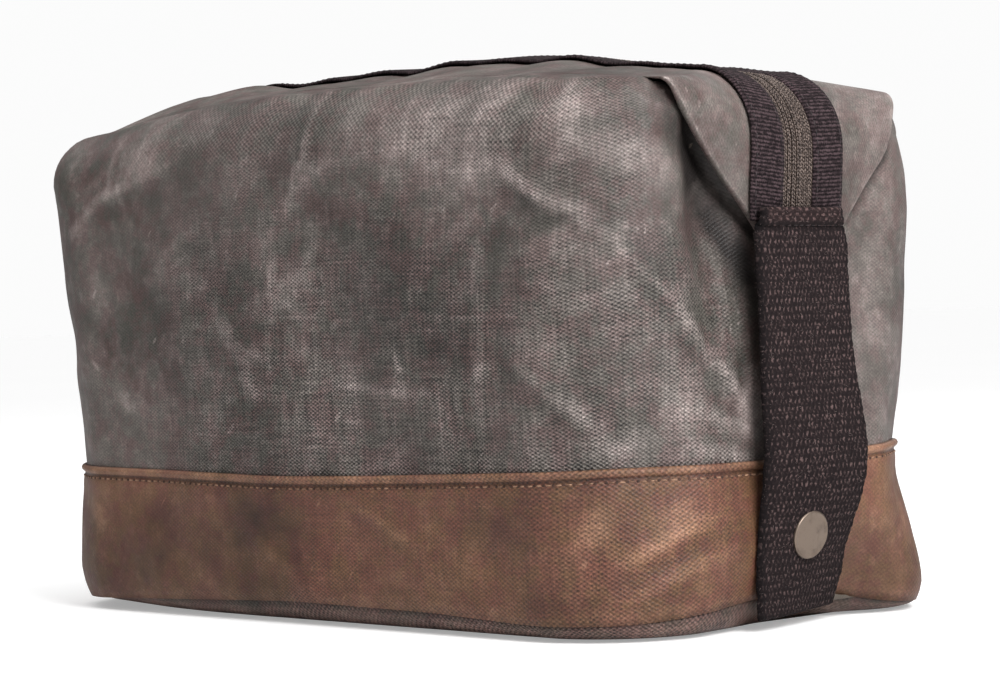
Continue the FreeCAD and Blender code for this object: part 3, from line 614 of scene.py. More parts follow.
class Form:
    """The outer surface of the canvas as functions of place along the plan and height."""

    RUB_SHARE, REACH = 0.8, 60

    def __init__(self) -> None:
        self.map = TopMap()
        self.seam = Table((0, 9, 20, 8.8, 40, 6.8, 62, 5, 90, 4.6, 130, 6.4, 190, 7, 250, 5, 300, 3.2, 375, 5.5,
                           470, 4, 560, 6.5, 640, 4.5, 660, 2.6, 685, 2.2, 703, 3.6, 718, 6.8, 732, 8.6, 741, 9), 6)
        self.band_top = Table((0, 47, 60, 47.3, 90, 46.4, 150, 44.6, 190, 43.8, 260, 45, 300, 45.6, 375, 46.5,
                               470, 45.5, 560, 44.5, 640, 46, 672, 49.4, 695, 49.6, 710, 48.9, 741, 47), 8)
        # How the corners lean out, by the way each faces along and across the bag.
        self.corner_leans = {
            (-1, -1): Table((0, -1.6, 8, -1.2, 27, -1.3, 36, -1.7, 47, -1.6, 60, -1.2, 80, -1.4, 99, -0.6, 125, 0.7,
                             138, 2.1, 150, 3.6), 3),
            (1, 1): Table((0, 2.5, 7, 3.9, 16, 2.2, 30, -1.4, 42, -4, 54, -2.3, 66, -1.4, 78, -0.4, 96, 0.3, 110, 0.6,
                           125, -0.4, 131, -1.2, 138, -3.2, 144, -5.2, 150, -5.4), 3),
            (1, -1): Table((0, -1, 27, -1.5, 47, -2.5, 73, -1.5, 150, 0), 3),
            (-1, 1): Table((0, -1, 47, -3, 73, -2, 99, -1, 131, -0.5, 150, -1.5), 3),
        }
        self.coarse, self.medium, self.fine = Noise(11), Noise(23), Noise(37)

    @staticmethod
    def plan(q: Array, half_length: Array | float, half_depth: Array | float,
             radius: Array | float) -> tuple[Array, Array]:
        """The rounded-rectangle plan, from the right end's middle round by the front.

        Args:
            q: Place on the plan, 0 to 9, one unit for each straight or corner.
            half_length: Half the length there.
            half_depth: Half the depth there.
            radius: The corners' radius there.

        Returns:
            Points of shape (..., 2), and their outward normals.
        """
        q, a, b, r = np.broadcast_arrays(*(np.asarray(v, float) for v in (q, half_length, half_depth, radius)))
        k = np.clip(np.floor(q), 0, 8).astype(int)
        t = q - k
        x, y, nx, ny = (np.zeros_like(q) for _ in range(4))
        straights = {0: (a, 0 * b, a, r - b, 1, 0), 2: (a - r, -b, r - a, -b, 0, -1),
                     4: (-a, r - b, -a, b - r, -1, 0), 6: (r - a, b, a - r, b, 0, 1), 8: (a, b - r, a, 0 * b, 1, 0)}
        for number, (x0, y0, x1, y1, sx, sy) in straights.items():
            on = k == number
            x[on], y[on] = (x0 + (x1 - x0) * t)[on], (y0 + (y1 - y0) * t)[on]
            nx[on], ny[on] = sx, sy
        corners = {1: (0.0, a - r, r - b), 3: (-0.5, r - a, r - b), 5: (-1.0, r - a, b - r), 7: (-1.5, a - r, b - r)}
        for number, (start, cx, cy) in corners.items():
            on = k == number
            turn = (start - 0.5 * t[on]) * np.pi
            nx[on], ny[on] = np.cos(turn), np.sin(turn)
            x[on], y[on] = cx[on] + r[on] * nx[on], cy[on] + r[on] * ny[on]
        return np.stack([x, y], -1), np.stack([nx, ny], -1)

    def inset(self, q: Array, length: float, depth: float, corner: float, least: float, z: float) -> Array:
        """A row of points on the floor, in from the walls' foot by distances at the ends, the sides and corners."""
        row, _ = self.plan(q, BAG.half_length_base - length, BAG.half_depth_base - depth,
                           max(BAG.corner_base - corner, least))
        return np.concatenate([row, np.full((len(q), 1), z)], -1)

    @staticmethod
    def stations(step: float) -> tuple[Array, Array]:
        """Evenly spaced places on the plan, and how far round it each of them is."""
        runs = Form.runs()
        q = np.concatenate([k + np.arange(n) / n for k, n in
                            enumerate(max(4, round(length / step)) for length in np.diff(runs))])
        return q, np.interp(q, np.arange(10), runs)

    @staticmethod
    def runs() -> Array:
        """The distance along the plan at the start of each straight and corner, and at the end."""
        side = 2 * (BAG.half_length_base - BAG.corner_base)
        end = BAG.half_depth_base - BAG.corner_base
        turn = BAG.corner_base * np.pi / 2
        return np.concatenate([[0], np.cumsum([end, turn, side, turn, 2 * end, turn, side, turn, end])])

    def relief(self, points: Array) -> Array:
        """The soft unevenness of the cloth at points of shape (..., 3)."""
        low = self.coarse(points, (46, 46, 38))
        mid = self.medium(points + 100, (19, 19, 15))
        high = self.fine(points + 200, (8, 8, 7))
        folds = 1 - np.abs(self.medium(points + 300, (30, 30, 26))) * 2.2
        return 1.2 * low + 0.45 * mid + 0.1 * high + 0.3 * np.clip(folds, -1, 1)

    def folded(self, run: Array, z: Array) -> tuple[Array, Array]:
        """The folds, rubs and painted light and shade at places on the unrolled wall.

        The front's folds are repeated on the back, mirrored, shifted and squeezed, and fade towards the right end.

        Args:
            run: Distance along the plan.
            z: Height.

        Returns:
            How far each point stands out, and how much paler or darker its colour is, from rubs, dark wax and painted
            light and shade.
        """
        height, rub = np.zeros(run.shape), np.zeros(run.shape)
        behind = self.runs()[-1] - run + BACK_SHIFT
        calm = 1 - smooth(run, 630, 675)
        for fold in FOLDS:
            first, low = fold.line[:2]
            line = np.reshape(fold.line, (-1, 2)).astype(float)
            for mirrored, place, level, share in ((False, run, z, 1.0 + 0 * run),
                                                  (True, behind, 0.92 * z + 3 if low > BAND_FOLDS_BELOW else z, calm)):
                close = (np.abs(place - first) < self.REACH + 4 * fold.width) & (share > 0)
                if not close.any() or (mirrored and first > 420):
                    continue
                gap, along = self._line_gap(np.stack([place[close], level[close]], -1), line)
                fade = (0.35 + 0.65 * np.sin(np.clip(along, 0.02, 0.98) * np.pi)) * share[close]
                height[close] += fold.height * fade * bell(gap, fold.width)
                rub[close] += fold.rub * fade * bell(gap, self.RUB_SHARE * fold.width)
        return height, rub

    @staticmethod
    def _line_gap(points: Array, line: Array) -> tuple[Array, Array]:
        """How far points are from a bent line, and the share of its length at which they are nearest."""
        starts = distances(line)
        gap, along = np.full(len(points), 1e9), np.zeros(len(points))
        for k, (begin, way) in enumerate(zip(line, np.diff(line, axis=0))):
            length = np.linalg.norm(way)
            t = np.clip(((points - begin) @ way) / length**2, 0, 1)
            d = np.linalg.norm(points - (begin + t[:, None] * way), axis=-1)
            near = d < gap
            gap[near], along[near] = d[near], ((starts[k] + t * length) / starts[-1])[near]
        return gap, along

    def bias(self, points: Array, normals: Array) -> Array:
        """The bag's own lean and slump, as an outward shift of the wall."""
        x, y, z = np.moveaxis(points, -1, 0)
        right, left = np.clip(normals[..., 0], 0, 1), np.clip(-normals[..., 0], 0, 1)
        swell = np.sin(np.clip(z / BAG.wall_height, 0, 1) * np.pi) * np.cos(np.clip(x / 131, -1, 1) * np.pi / 2)
        out = np.abs(normals[..., 1]) * 2.2 * swell
        # The ends are pinched in at the top of the band, and tuck under behind the strap's foot.
        tuck = 4.8 * (1 - smooth(z, 4, 32)) * bell(y + 4, 34) + 6.5 * (1 - smooth(z, 2, 34)) * bell(y - 18, 20)
        out = out - (right + left) * 1.5 * bell(z - 48, 22) - (right + left) * tuck
        for (along, across), lean in self.corner_leans.items():
            toward = (normals[..., 0] * along + normals[..., 1] * across) * 0.7071
            out = out + lean(z) * smooth(toward, 0.72, 1.0)
        high = 1 - smooth(z, 134, 148)
        ahead = bell(y + 31, 13) * smooth(z, 62, 100) * high
        behind = bell(y - 31, 13) * smooth(z, 70, 100) * high
        return out - right * (5.5 * ahead + 2.5 * behind) - left * 3.0 * (ahead + behind)

    def wall(self, q: Array, share: Array | float, arc: Array | float = 0.0, inward: Array | float = 0.0,
             foot: Array | float = 36.0, out: Array | float = 0.0) -> tuple[Array, Array]:
        """Points of the wall and its shoulder.

        Args:
            q: Place on the plan.
            share: 0 at the foot to 1 at the shoulder's spring line.
            arc: Angle up the shoulder.
            inward: Distance past the shoulder, towards the middle of the bag.
            foot: The foot's height.
            out: Extra distance outwards.

        Returns:
            Points of shape (..., 3), and the rubs and painted light and shade there.
        """
        q, share, arc, inward, foot = np.broadcast_arrays(
            *(np.asarray(v, float) for v in (q, share, arc, inward, foot)))
        _, n = self.plan(q, BAG.half_length_top, BAG.half_depth_top, BAG.corner_top)
        shoulder = BAG.shoulder_end + (BAG.shoulder - BAG.shoulder_end) * np.abs(n[..., 1]) ** 4
        lean = shoulder * (1 - np.cos(arc)) + inward
        over, _ = self.plan(q, BAG.half_length_top - lean, BAG.half_depth_top - lean,
                            np.maximum(BAG.corner_top - lean, 0.5))
        spring = self.map(over[..., 0], over[..., 1]) - shoulder * np.sin(BAG.shoulder_turn)
        z = foot + (spring - foot) * share
        t = np.clip(z / BAG.wall_height, 0, 1)
        half_length = BAG.half_length_base + (BAG.half_length_top - BAG.half_length_base) * t
        half_depth = BAG.half_depth_base + (BAG.half_depth_top - BAG.half_depth_base) * t
        radius = BAG.corner_base + (BAG.corner_top - BAG.corner_base) * smooth(z, 85, BAG.wall_height)
        full, n = self.plan(q, half_length, half_depth, radius)
        flat, _ = self.plan(q, half_length - lean, half_depth - lean, np.maximum(radius - lean, 0.5))
        tilt = arc / BAG.shoulder_turn * np.pi / 2
        height, rub = self.folded(np.interp(q, np.arange(10), self.runs()), z)
        rise = np.cos(tilt)
        raw = np.concatenate([flat, (z + shoulder * np.sin(arc))[..., None]], -1)
        amount = (self.bias(np.concatenate([full, z[..., None]], -1), n) * rise + height * rise
                  + self.relief(raw) * (0.2 + 0.8 * smooth(z, 2, 14)) + out)
        points = raw + np.concatenate([n * rise[..., None], np.sin(tilt)[..., None]], -1) * amount[..., None]
        x, y = points[..., 0].copy(), points[..., 1].copy()
        level = self.top(x, y)[..., 2] - BAG.overlap_sink * smooth(BAG.mouth_half - np.abs(y), 0, 3) + out
        points[..., 2] += smooth(tilt, 0.9, np.pi / 2) * (level - points[..., 2])
        _, turn, bend = self.fold(y)
        past = np.clip((np.abs(x) - bend) / turn, 0, 1)
        cover = self.map(np.sign(x) * bend, y) - turn * (1 - np.sqrt(1 - past ** 2)) - EAR.room
        under = smooth(BAG.mouth_half - 3 - np.abs(y), 0, 8) * smooth(np.abs(x), BAG.mouth_end, BAG.mouth_end + 14)
        points[..., 2] += 0.92 * under * np.minimum(cover - points[..., 2], 0)
        return points, rub * rise

    def side(self, q: Array, z: Array, out: Array | float = 0.0) -> tuple[Array, Array]:
        """Points of the wall at given heights, and the rubs and painted light and shade there."""
        return self.wall(q, 0.0, foot=z, out=out)

    def top(self, x: Array, y: Array) -> Array:
        """Points of the top between its shoulders, before the end folds."""
        x, y = np.broadcast_arrays(np.asarray(x, float), np.asarray(y, float))
        gather = bell(np.abs(y) - 24, 13) * (1 - smooth(np.abs(x), 90, 118))
        ripple = np.sin(x / 7.2 + 1.3 * np.sign(y)) + 0.8 * np.sin(x / 4.3 + 2.0 * np.sign(y) + 0.7)
        points = np.stack([x, y, self.map(x, y) + 0.55 * gather * ripple], -1)
        points[..., 2] += self.relief(points) * smooth(np.abs(y), 6, 30) * (1 - 0.7 * smooth(np.abs(x), 108, 126))
        return points

    @staticmethod
    def fold(y: Array) -> tuple[Array, Array, Array]:
        """The end fold across the bag: the flap's X, the fold's radius, and where along the top it begins."""
        spread = np.abs(np.asarray(y, float))
        face = EAR.face_x - 1.3 * (spread / 50) ** 2
        radius = EAR.fold_radius + (EAR.corner_radius - EAR.fold_radius) * smooth(spread, 17, 46)
        return face, radius, face - radius

    def crest(self, a: Array, y: Array, lift: Array | float = 0.0) -> Array:
        """Points of the top and of both end flaps, by distance along the bag.

        Args:
            a: Distance from the middle, along X on the top and down the flap past the fold.
            y: Place across the bag.
            lift: Distance above the surface.

        Returns:
            Points of shape (..., 3).
        """
        a, y = np.broadcast_arrays(np.asarray(a, float), np.asarray(y, float))
        side, d = np.where(a >= 0, 1.0, -1.0), np.abs(a)
        _, radius, bend = self.fold(y)
        arc = np.clip((d - bend) / radius, 0, np.pi / 2)
        down = np.maximum(d - bend - radius * np.pi / 2, 0)
        points = self.top(side * np.minimum(d, bend), y)
        points[..., 0] += side * radius * np.sin(arc)
        points[..., 2] -= radius * (1 - np.cos(arc)) + down
        wave = self.medium(points + 500, (26, 22, 24)) * smooth(down, 0, 22) * smooth(np.abs(y), 10, 26)
        points[..., 0] += side * (0.9 * wave - EAR.lean * smooth(down, 0, 26))
        if np.any(lift):
            step = 0.4
            along = self.crest(a + step, y) - self.crest(a - step, y)
            across = self.crest(a, y + step) - self.crest(a, y - step)
            points = points + unit(np.cross(along, across)) * (0 * a + lift)[..., None]
        return points

    @staticmethod
    def sway(a: Array) -> Array:
        """How far the zip and ribbons have drifted towards the front at distances along the crest."""
        return -EAR.drift * smooth(np.abs(a), 98, 130)

    def along_at_height(self, side: Side, z: float) -> float:
        """The distance along the crest at which the flap's middle has come down to a height."""
        _, radius, bend = self.fold(0.0)
        over = self.top(side.value * bend, 0.0)[..., 2]
        return float(bend + radius * np.pi / 2 + np.maximum(over - radius - z, 0))


# --- finishes ------------------------------------------------------------------------------------------------


class Graph:
    """Short names for making shader nodes."""

    def __init__(self, tree: bpy.types.NodeTree) -> None:
        self.tree = tree
        tree.nodes.clear()

    def node(self, kind: str, **values: object) -> bpy.types.Node:
        """A new node. Its settings are given by name, and its inputs by name or number in `inputs`."""
        inputs = values.pop("inputs", {})
        made = self.tree.nodes.new(kind if kind.startswith("NodeGroup") else "ShaderNode" + kind)
        for name, value in values.items():
            setattr(made, name, value)
        for name, value in inputs.items():
            self.feed(made.inputs[name], value)
        return made

    def feed(self, socket: Socket, value: object) -> None:
        """Gives a socket a constant, or another node's output."""
        if isinstance(value, Socket):
            self.tree.links.new(value, socket)
        else:
            socket.default_value = value

    def math(self, operation: str, a: object, b: object = 0.0, clamp: bool = False) -> Socket:
        """One Math node's output."""
        return self.node("Math", operation=operation, use_clamp=clamp, inputs={0: a, 1: b}).outputs[0]

    def mul(self, *values: object) -> Socket:
        """A product, worked out from left to right."""
        return functools.reduce(lambda a, b: self.math("MULTIPLY", a, b), values)

    def add(self, *values: object) -> Socket:
        """A sum, worked out from left to right."""
        return functools.reduce(lambda a, b: self.math("ADD", a, b), values)

    def swing(self, value: object, amount: float) -> Socket:
        """A value's distance from one half, made larger."""
        return self.mul(self.math("SUBTRACT", value, 0.5), amount)

    def span(self, value: object, low: float, high: float, out_low: float = 0.0, out_high: float = 1.0) -> Socket:
        """A value carried smoothly from one range to another."""
        return self.node("MapRange", interpolation_type="SMOOTHSTEP",
                         inputs={0: value, 1: low, 2: high, 3: out_low, 4: out_high}).outputs[0]

    def mix(self, share: object, a: object, b: object, blend: str = "MIX") -> Socket:
        """Two colours mixed."""
        return self.node("Mix", data_type="RGBA", blend_type=blend, clamp_factor=True,
                         inputs={0: share, 6: a, 7: b}).outputs[2]

    def vector(self, operation: str, *inputs: object) -> Socket:
        """One Vector Math node's output."""
        return self.node("VectorMath", operation=operation, inputs=dict(enumerate(inputs))).outputs[0]

    def noise(self, vector: object, scale: float, detail: float = 3.0, rough: float = 0.55,
              stretch: tuple[float, float, float] | None = None) -> Socket:
        """One Noise texture's value."""
        if stretch is not None:
            vector = self.vector("MULTIPLY", vector, stretch)
        return self.node("TexNoise", inputs={"Vector": vector, "Scale": scale, "Detail": detail,
                                             "Roughness": rough}).outputs[0]

    def grey(self, tone: object) -> Socket:
        """A value as a grey."""
        return self.node("CombineColor", inputs={0: tone, 1: tone, 2: tone}).outputs[0]

    def bump(self, strength: float, distance: float, height: object, under: Socket | None = None) -> Socket:
        """A normal that follows a height, over another normal."""
        inputs = {"Strength": strength, "Distance": distance, "Height": height}
        return self.node("Bump", inputs=inputs if under is None else inputs | {"Normal": under}).outputs[0]

    def place(self) -> Socket:
        """The point's place on its object."""
        return self.node("TexCoord").outputs["Object"]

    def cloth(self) -> Socket:
        """The point's place along the cloth."""
        return self.node("UVMap", uv_map="cloth").outputs[0]

    def group(self, tree: bpy.types.NodeTree, *inputs: object) -> bpy.types.NodeOutputs:
        """A shared group's outputs."""
        return self.node("Group", node_tree=tree, inputs=dict(enumerate(inputs))).outputs


def srgb(red: int, green: int, blue: int) -> Colour:
    """A screen colour, 0 to 255, as the linear colour that shaders take."""
    def linear(v: float) -> float:
        v /= 255
        return v / 12.92 if v <= 0.04045 else ((v + 0.055) / 1.055) ** 2.4
    return linear(red), linear(green), linear(blue), 1.0


class Effects:
    """Shader groups that several finishes share. Each is made once."""

    def __init__(self) -> None:
        self.made: dict[str, bpy.types.NodeTree] = {}

    def _group(self, name: str, inputs: dict[str, float | None], outputs: Sequence[str],
               fill: Callable[[Graph, bpy.types.NodeOutputs], Sequence[Socket]]) -> bpy.types.NodeTree:
        """Makes a group, or gives the one that was made before.

        Args:
            name: The group's name.
            inputs: First value of each input, by name, or None for a vector.
            outputs: Names of the outputs, which are all numbers.
            fill: Adds the nodes that lead from the inputs, and gives what feeds each output.

        Returns:
            The group.
        """
        if name not in self.made:
            tree = self.made[name] = bpy.data.node_groups.new(name, "ShaderNodeTree")
            graph = Graph(tree)
            for label, value in inputs.items():
                kind = "NodeSocketVector" if value is None else "NodeSocketFloat"
                socket = tree.interface.new_socket(label, in_out="INPUT", socket_type=kind)
                if value is not None:
                    socket.default_value = value
            for label in outputs:
                tree.interface.new_socket(label, in_out="OUTPUT", socket_type="NodeSocketFloat")
            into, out = graph.node("NodeGroupInput"), graph.node("NodeGroupOutput")
            for socket, value in zip(out.inputs, fill(graph, into.outputs)):
                graph.feed(socket, value)
        return self.made[name]

    def threads(self) -> bpy.types.NodeTree:
        """Plain-woven threads: a height, where a thread lies on top, its fibres, and its thick places."""
        def fill(g: Graph, into: bpy.types.NodeOutputs) -> Sequence[Socket]:
            cloth = into["Vector"]
            x, y, _ = g.node("SeparateXYZ", inputs={0: cloth}).outputs
            bend = g.mul(g.noise(cloth, 130.0, 2.0), 2.6)
            slip = g.mul(g.noise(cloth, 420.0, 1.0), 1.6)
            across = g.math("DIVIDE", g.mul(x, math.pi), into["Across"])
            along = g.math("DIVIDE", g.mul(y, math.pi), into["Along"])
            across = g.math("SINE", g.add(across, bend, slip))
            along = g.math("SINE", g.math("SUBTRACT", g.add(along, slip), bend))
            top = g.add(g.mul(across, along, 0.5), 0.5)
            fibre = g.noise(cloth, 1700.0, 3.0, 0.7)
            slub = g.mul(g.add(g.noise(cloth, 1100.0, 1.0, 0.5, (1.0, 0.05, 1.0)),
                               g.noise(cloth, 1500.0, 1.0, 0.5, (0.04, 1.0, 1.0))), 0.5)
            return g.add(g.mul(top, 0.8), g.mul(fibre, 0.6)), top, fibre, slub
        return self._group("threads", {"Vector": None, "Across": 0.00091, "Along": 0.00054},
                           ("Height", "Top", "Fibre", "Slub"), fill)

    def wax(self) -> bpy.types.NodeTree:
        """How waxed cloth pales: broad clouds, mottling, fine scuffs, short scratches and rubbed folds, with the
        painted highlights the wear attribute carries; and how it darkens, from dark wax and painted shade, where that
        attribute is below 0.
        """
        def fill(g: Graph, into: bpy.types.NodeOutputs) -> Sequence[Socket]:
            place, wear = into["Vector"], into["Wear"]
            cloud = g.span(g.noise(place, 15.0, 5.0, 0.62), 0.36, 0.66)
            mottle = g.span(g.noise(place, 70.0, 5.0, 0.66), 0.36, 0.70)
            scuff = g.span(g.noise(place, 260.0, 4.0, 0.7), 0.44, 0.74)
            tilted = g.node("VectorRotate", rotation_type="EULER_XYZ",
                            inputs={"Vector": place, "Rotation": (0.5, 0.7, 0.6)}).outputs[0]
            scratch = g.mul(g.span(g.noise(tilted, 26.0, 1.0, 0.5, (1.0, 16.0, 16.0)), 0.69, 0.74),
                            g.span(g.noise(place, 40.0, 2.0), 0.50, 0.62))
            rub = g.mul(g.math("MAXIMUM", wear, 0.0), g.add(g.mul(g.add(scuff, mottle), 0.35), 0.40))
            pale = g.add(g.mul(cloud, 0.10), g.mul(mottle, 0.12), g.mul(scuff, mottle, 0.20), g.mul(scratch, 0.30))
            pale = g.math("ADD", g.mul(pale, into["Amount"]), rub, clamp=True)
            # Painted shade, with dark wax: the darkening where the wear attribute is below 0.
            deep = g.math("MULTIPLY", g.math("MAXIMUM", g.mul(wear, -1.0), 0.0), g.add(g.mul(mottle, -0.4), 1.1),
                          clamp=True)
            hue = g.span(g.noise(place, 120.0, 4.0, 0.75), 0.40, 0.60)
            return pale, deep, g.add(g.mul(cloud, 0.55), g.mul(mottle, 0.45)), scuff, hue
        return self._group("wax_wear", {"Vector": None, "Wear": 0.0, "Amount": 1.0},
                           ("Pale", "DarkAndShade", "Cloud", "Scuff", "Hue"), fill)

    def fluff(self) -> bpy.types.NodeTree:
        """Loose fibres and lint on woven tape: a pale mask and a height."""
        def fill(g: Graph, into: bpy.types.NodeOutputs) -> Sequence[Socket]:
            place = into["Vector"]
            lint = g.span(g.noise(place, 1500.0, 2.0, 0.6), 0.66, 0.80)
            return g.mul(lint, into["Amount"]), g.noise(place, 900.0, 3.0, 0.6)
        return self._group("fluff", {"Vector": None, "Amount": 1.0}, ("Lint", "Height"), fill)

@dataclass(frozen=True)
class Finish:
    """A finish, and the name of its slot in the part's record, which nothing here reads."""

    name: str
    slot: str

    def build(self, effects: Effects) -> bpy.types.Material:
        """Makes the material, with the shared shader groups."""
        material = bpy.data.materials.new(self.name)
        material.use_nodes = True
        graph = Graph(material.node_tree)
        shader = graph.node("BsdfPrincipled")
        graph.node("OutputMaterial", inputs={"Surface": shader.outputs[0]})
        self.fill(graph, shader.inputs, effects)
        return material

    def fill(self, g: Graph, shader: bpy.types.NodeInputs, effects: Effects) -> None:
        """Adds the nodes that feed the shader."""
        raise NotImplementedError


@dataclass(frozen=True)
class WaxedCloth(Finish):
    """Waxed cotton: a tight weave under wax that pales where it is bent or rubbed, with painted shade in its creases
    and painted light and shade over its faces.
    """

    dark: Colour = srgb(46, 40, 38)
    base: Colour = srgb(72, 64, 62)
    pale: Colour = srgb(160, 147, 143)
    warm: Colour = srgb(84, 60, 57)
    cool: Colour = srgb(60, 63, 54)
    across: float = 0.00091
    along: float = 0.00054
    wear: float = 1.0
    crisp: float = 0.66
    roughness: float = 0.58
    relief: float = 0.00055

    def fill(self, g: Graph, shader: bpy.types.NodeInputs, effects: Effects) -> None:
        """Adds the weave, the wax's clouds, the rubbed folds, and the painted shade and light in the colour."""
        place, cloth = g.place(), g.cloth()
        rub = g.node("Attribute", attribute_name="wear").outputs["Fac"]
        threads = g.group(effects.threads(), cloth, self.across, self.along)
        wax = g.group(effects.wax(), place, rub, self.wear)
        along_bag, across_bag, up_bag = g.node("SeparateXYZ", inputs={0: place}).outputs
        # The weave's colour contrast is partly painted shading of the threads' relief: strongest on the front, where
        # the key light rakes across it, weaker towards the left, higher up and on most of the ends.
        end = g.mul(g.span(across_bag, -0.030, -0.015, 1.0, 0.28), g.span(up_bag, 0.105, 0.125, 1.0, 0.28))
        side = g.span(g.math("ABSOLUTE", across_bag), 0.050, 0.061, 0.28, 1.0)
        upper = g.math("MAXIMUM", g.span(up_bag, 0.105, 0.125), g.span(up_bag, 0.046, 0.056, 1.0, 0.0))
        raked_weave = g.mul(g.span(along_bag, -0.085, 0.0, 0.16, 1.0), g.math("MAXIMUM", end, side),
                     g.span(up_bag, 0.085, 0.135, 1.0, 0.5),
                     g.math("MAXIMUM", g.span(along_bag, 0.065, 0.11, 1.0, 0.7), upper))
        colour = g.mix(wax["Cloud"], self.dark, self.base)
        colour = g.mix(0.48, colour, g.mix(wax["Hue"], self.warm, self.cool))
        colour = g.mix(wax["Pale"], colour, self.pale)
        # Painted shade: where the wear attribute is below 0, the colour goes towards near black.
        colour = g.mix(wax["DarkAndShade"], colour, g.mix(0.5, self.dark, (0.004, 0.003, 0.003, 1.0)))
        shown = g.mul(raked_weave, g.span(g.noise(place, 24.0, 3.0), 0.35, 0.65, 0.6 * self.crisp, self.crisp))
        weave = g.add(g.swing(threads["Top"], 1.7), g.swing(threads["Fibre"], 3.0), g.swing(threads["Slub"], 2.6))
        # Painted light and shade: the right end is made darker and the top and shoulders lighter. The colour is also a
        # little lighter above the band's height, and two noises add random tone.
        lit = g.mul(g.span(along_bag, 0.03, 0.12, 1.0, 0.89), g.span(up_bag, 0.125, 0.155, 1.0, 1.06),
                    g.span(up_bag, 0.045, 0.056, 1.0, 1.045),
                    g.span(g.noise(place, 19.0, 4.0, 0.6), 0.36, 0.64, 0.84, 1.16),
                    g.span(g.noise(place, 1900.0, 2.0), 0.34, 0.66, 0.84, 1.16))
        shade = g.mul(g.math("MAXIMUM", g.add(g.mul(weave, shown, 2.5), 1.02), 0.12), lit)
        g.feed(shader["Base Color"], g.mix(1.0, colour, g.grey(shade), "MULTIPLY"))
        g.feed(shader["Roughness"], g.math("SUBTRACT", self.roughness, g.mul(wax["Scuff"], 0.10)))
        shader["Specular IOR Level"].default_value = 0.38
        fine = g.bump(0.9, self.relief, g.mul(threads["Height"], raked_weave))
        g.feed(shader["Normal"], g.bump(0.45, 0.0007, g.noise(place, 130.0, 5.0, 0.6), fine))


@dataclass(frozen=True)
class WovenTape(Finish):
    """Cotton webbing and ribbed ribbon: yarn painted darker in the hollows between its raised tops (painted shade),
    and a little lint.
    """

    dark: Colour = srgb(25, 19, 20)
    base: Colour = srgb(87, 71, 70)
    across: float = 0.000855
    along: float = 0.00231
    ribbed: float = 0.0
    lint: float = 0.5
    relief: float = 0.00035
    waver: float = 1.0

    def fill(self, g: Graph, shader: bpy.types.NodeInputs, effects: Effects) -> None:
        """Adds the yarns, with painted shade in their hollows, the lint, and the painted shade that the wear attribute
        carries.
        """
        place, cloth = g.place(), g.cloth()
        fluff = g.group(effects.fluff(), place, self.lint)
        stir = g.node("TexNoise", inputs={"Vector": place, "Scale": 800.0, "Detail": 1.0}).outputs["Color"]
        cloth = g.vector("MULTIPLY_ADD", g.vector("SUBTRACT", stir, (0.5, 0.5, 0.5)),
                         (0.0016 * self.waver, 0.0016 * self.waver, 0.0), cloth)
        threads = g.group(effects.threads(), cloth, self.across, self.along)
        down = g.node("SeparateXYZ", inputs={0: cloth}).outputs[1]
        drift = g.mul(g.noise(place, 300.0, 2.0), 2.0 * self.waver)
        rows = g.math("SINE", g.add(g.mul(down, math.tau / self.along), drift))
        bars = g.math("SINE", g.add(g.mul(down, math.pi / self.along), g.mul(drift, 0.5)))
        knots = g.mul(g.span(threads["Top"], 0.35, 1.0), g.span(g.math("ABSOLUTE", bars), 0.2, 0.85, 0.15, 1.0))
        height = g.add(g.mul(g.add(g.mul(rows, 0.5), 0.5), self.ribbed), g.mul(knots, 1 - self.ribbed))
        height = g.add(g.mul(height, 0.8), g.mul(fluff["Height"], 0.5))
        rub = g.node("Attribute", attribute_name="wear").outputs["Fac"]
        # Painted shade: the colour is darker where the height is low, in the hollows between the yarns.
        tops = g.mul(g.span(height, 0.22, 1.05), g.span(g.noise(place, 640.0, 2.0), 0.34, 0.62, 0.3, 1.25),
                     g.span(g.noise(place, 1900.0, 2.0), 0.32, 0.62, 0.45, 1.3),
                     g.span(g.noise(place, 110.0, 3.0), 0.3, 0.7, 0.75, 1.2))
        colour = g.mix(tops, self.dark, self.base)
        colour = g.mix(g.mul(g.math("MAXIMUM", rub, 0.0), g.add(tops, 0.3)), colour, srgb(96, 70, 67))
        colour = g.mix(fluff["Lint"], colour, srgb(128, 110, 106))
        # Painted shade: where the wear attribute is below 0, along the strap's edges and its hem seam, the colour goes
        # nearly black.
        colour = g.mix(g.math("MAXIMUM", g.mul(rub, -1.0), 0.0), colour, srgb(9, 7, 8))
        g.feed(shader["Base Color"], colour)
        shader["Roughness"].default_value = 0.95
        shader["Specular IOR Level"].default_value = 0.12
        g.feed(shader["Normal"], g.bump(1.0, self.relief, height))


@dataclass(frozen=True)
class Yarn(Finish):
    """Sewing thread, lint, the loops of the zip, and the dark dots of painted shade for the needle holes."""

    dark: Colour
    base: Colour
    grain: float = 420.0

    def fill(self, g: Graph, shader: bpy.types.NodeInputs, effects: Effects) -> None:
        """Adds the yarn's twist and its unevenness."""
        place = g.place()
        g.feed(shader["Base Color"], g.mix(g.span(g.noise(place, self.grain, 3.0), 0.35, 0.65), self.dark, self.base))
        shader["Roughness"].default_value = 0.7
        shader["Specular IOR Level"].default_value = 0.35
        g.feed(shader["Normal"], g.bump(0.6, 0.0001, g.noise(place, 3200.0, 2.0)))


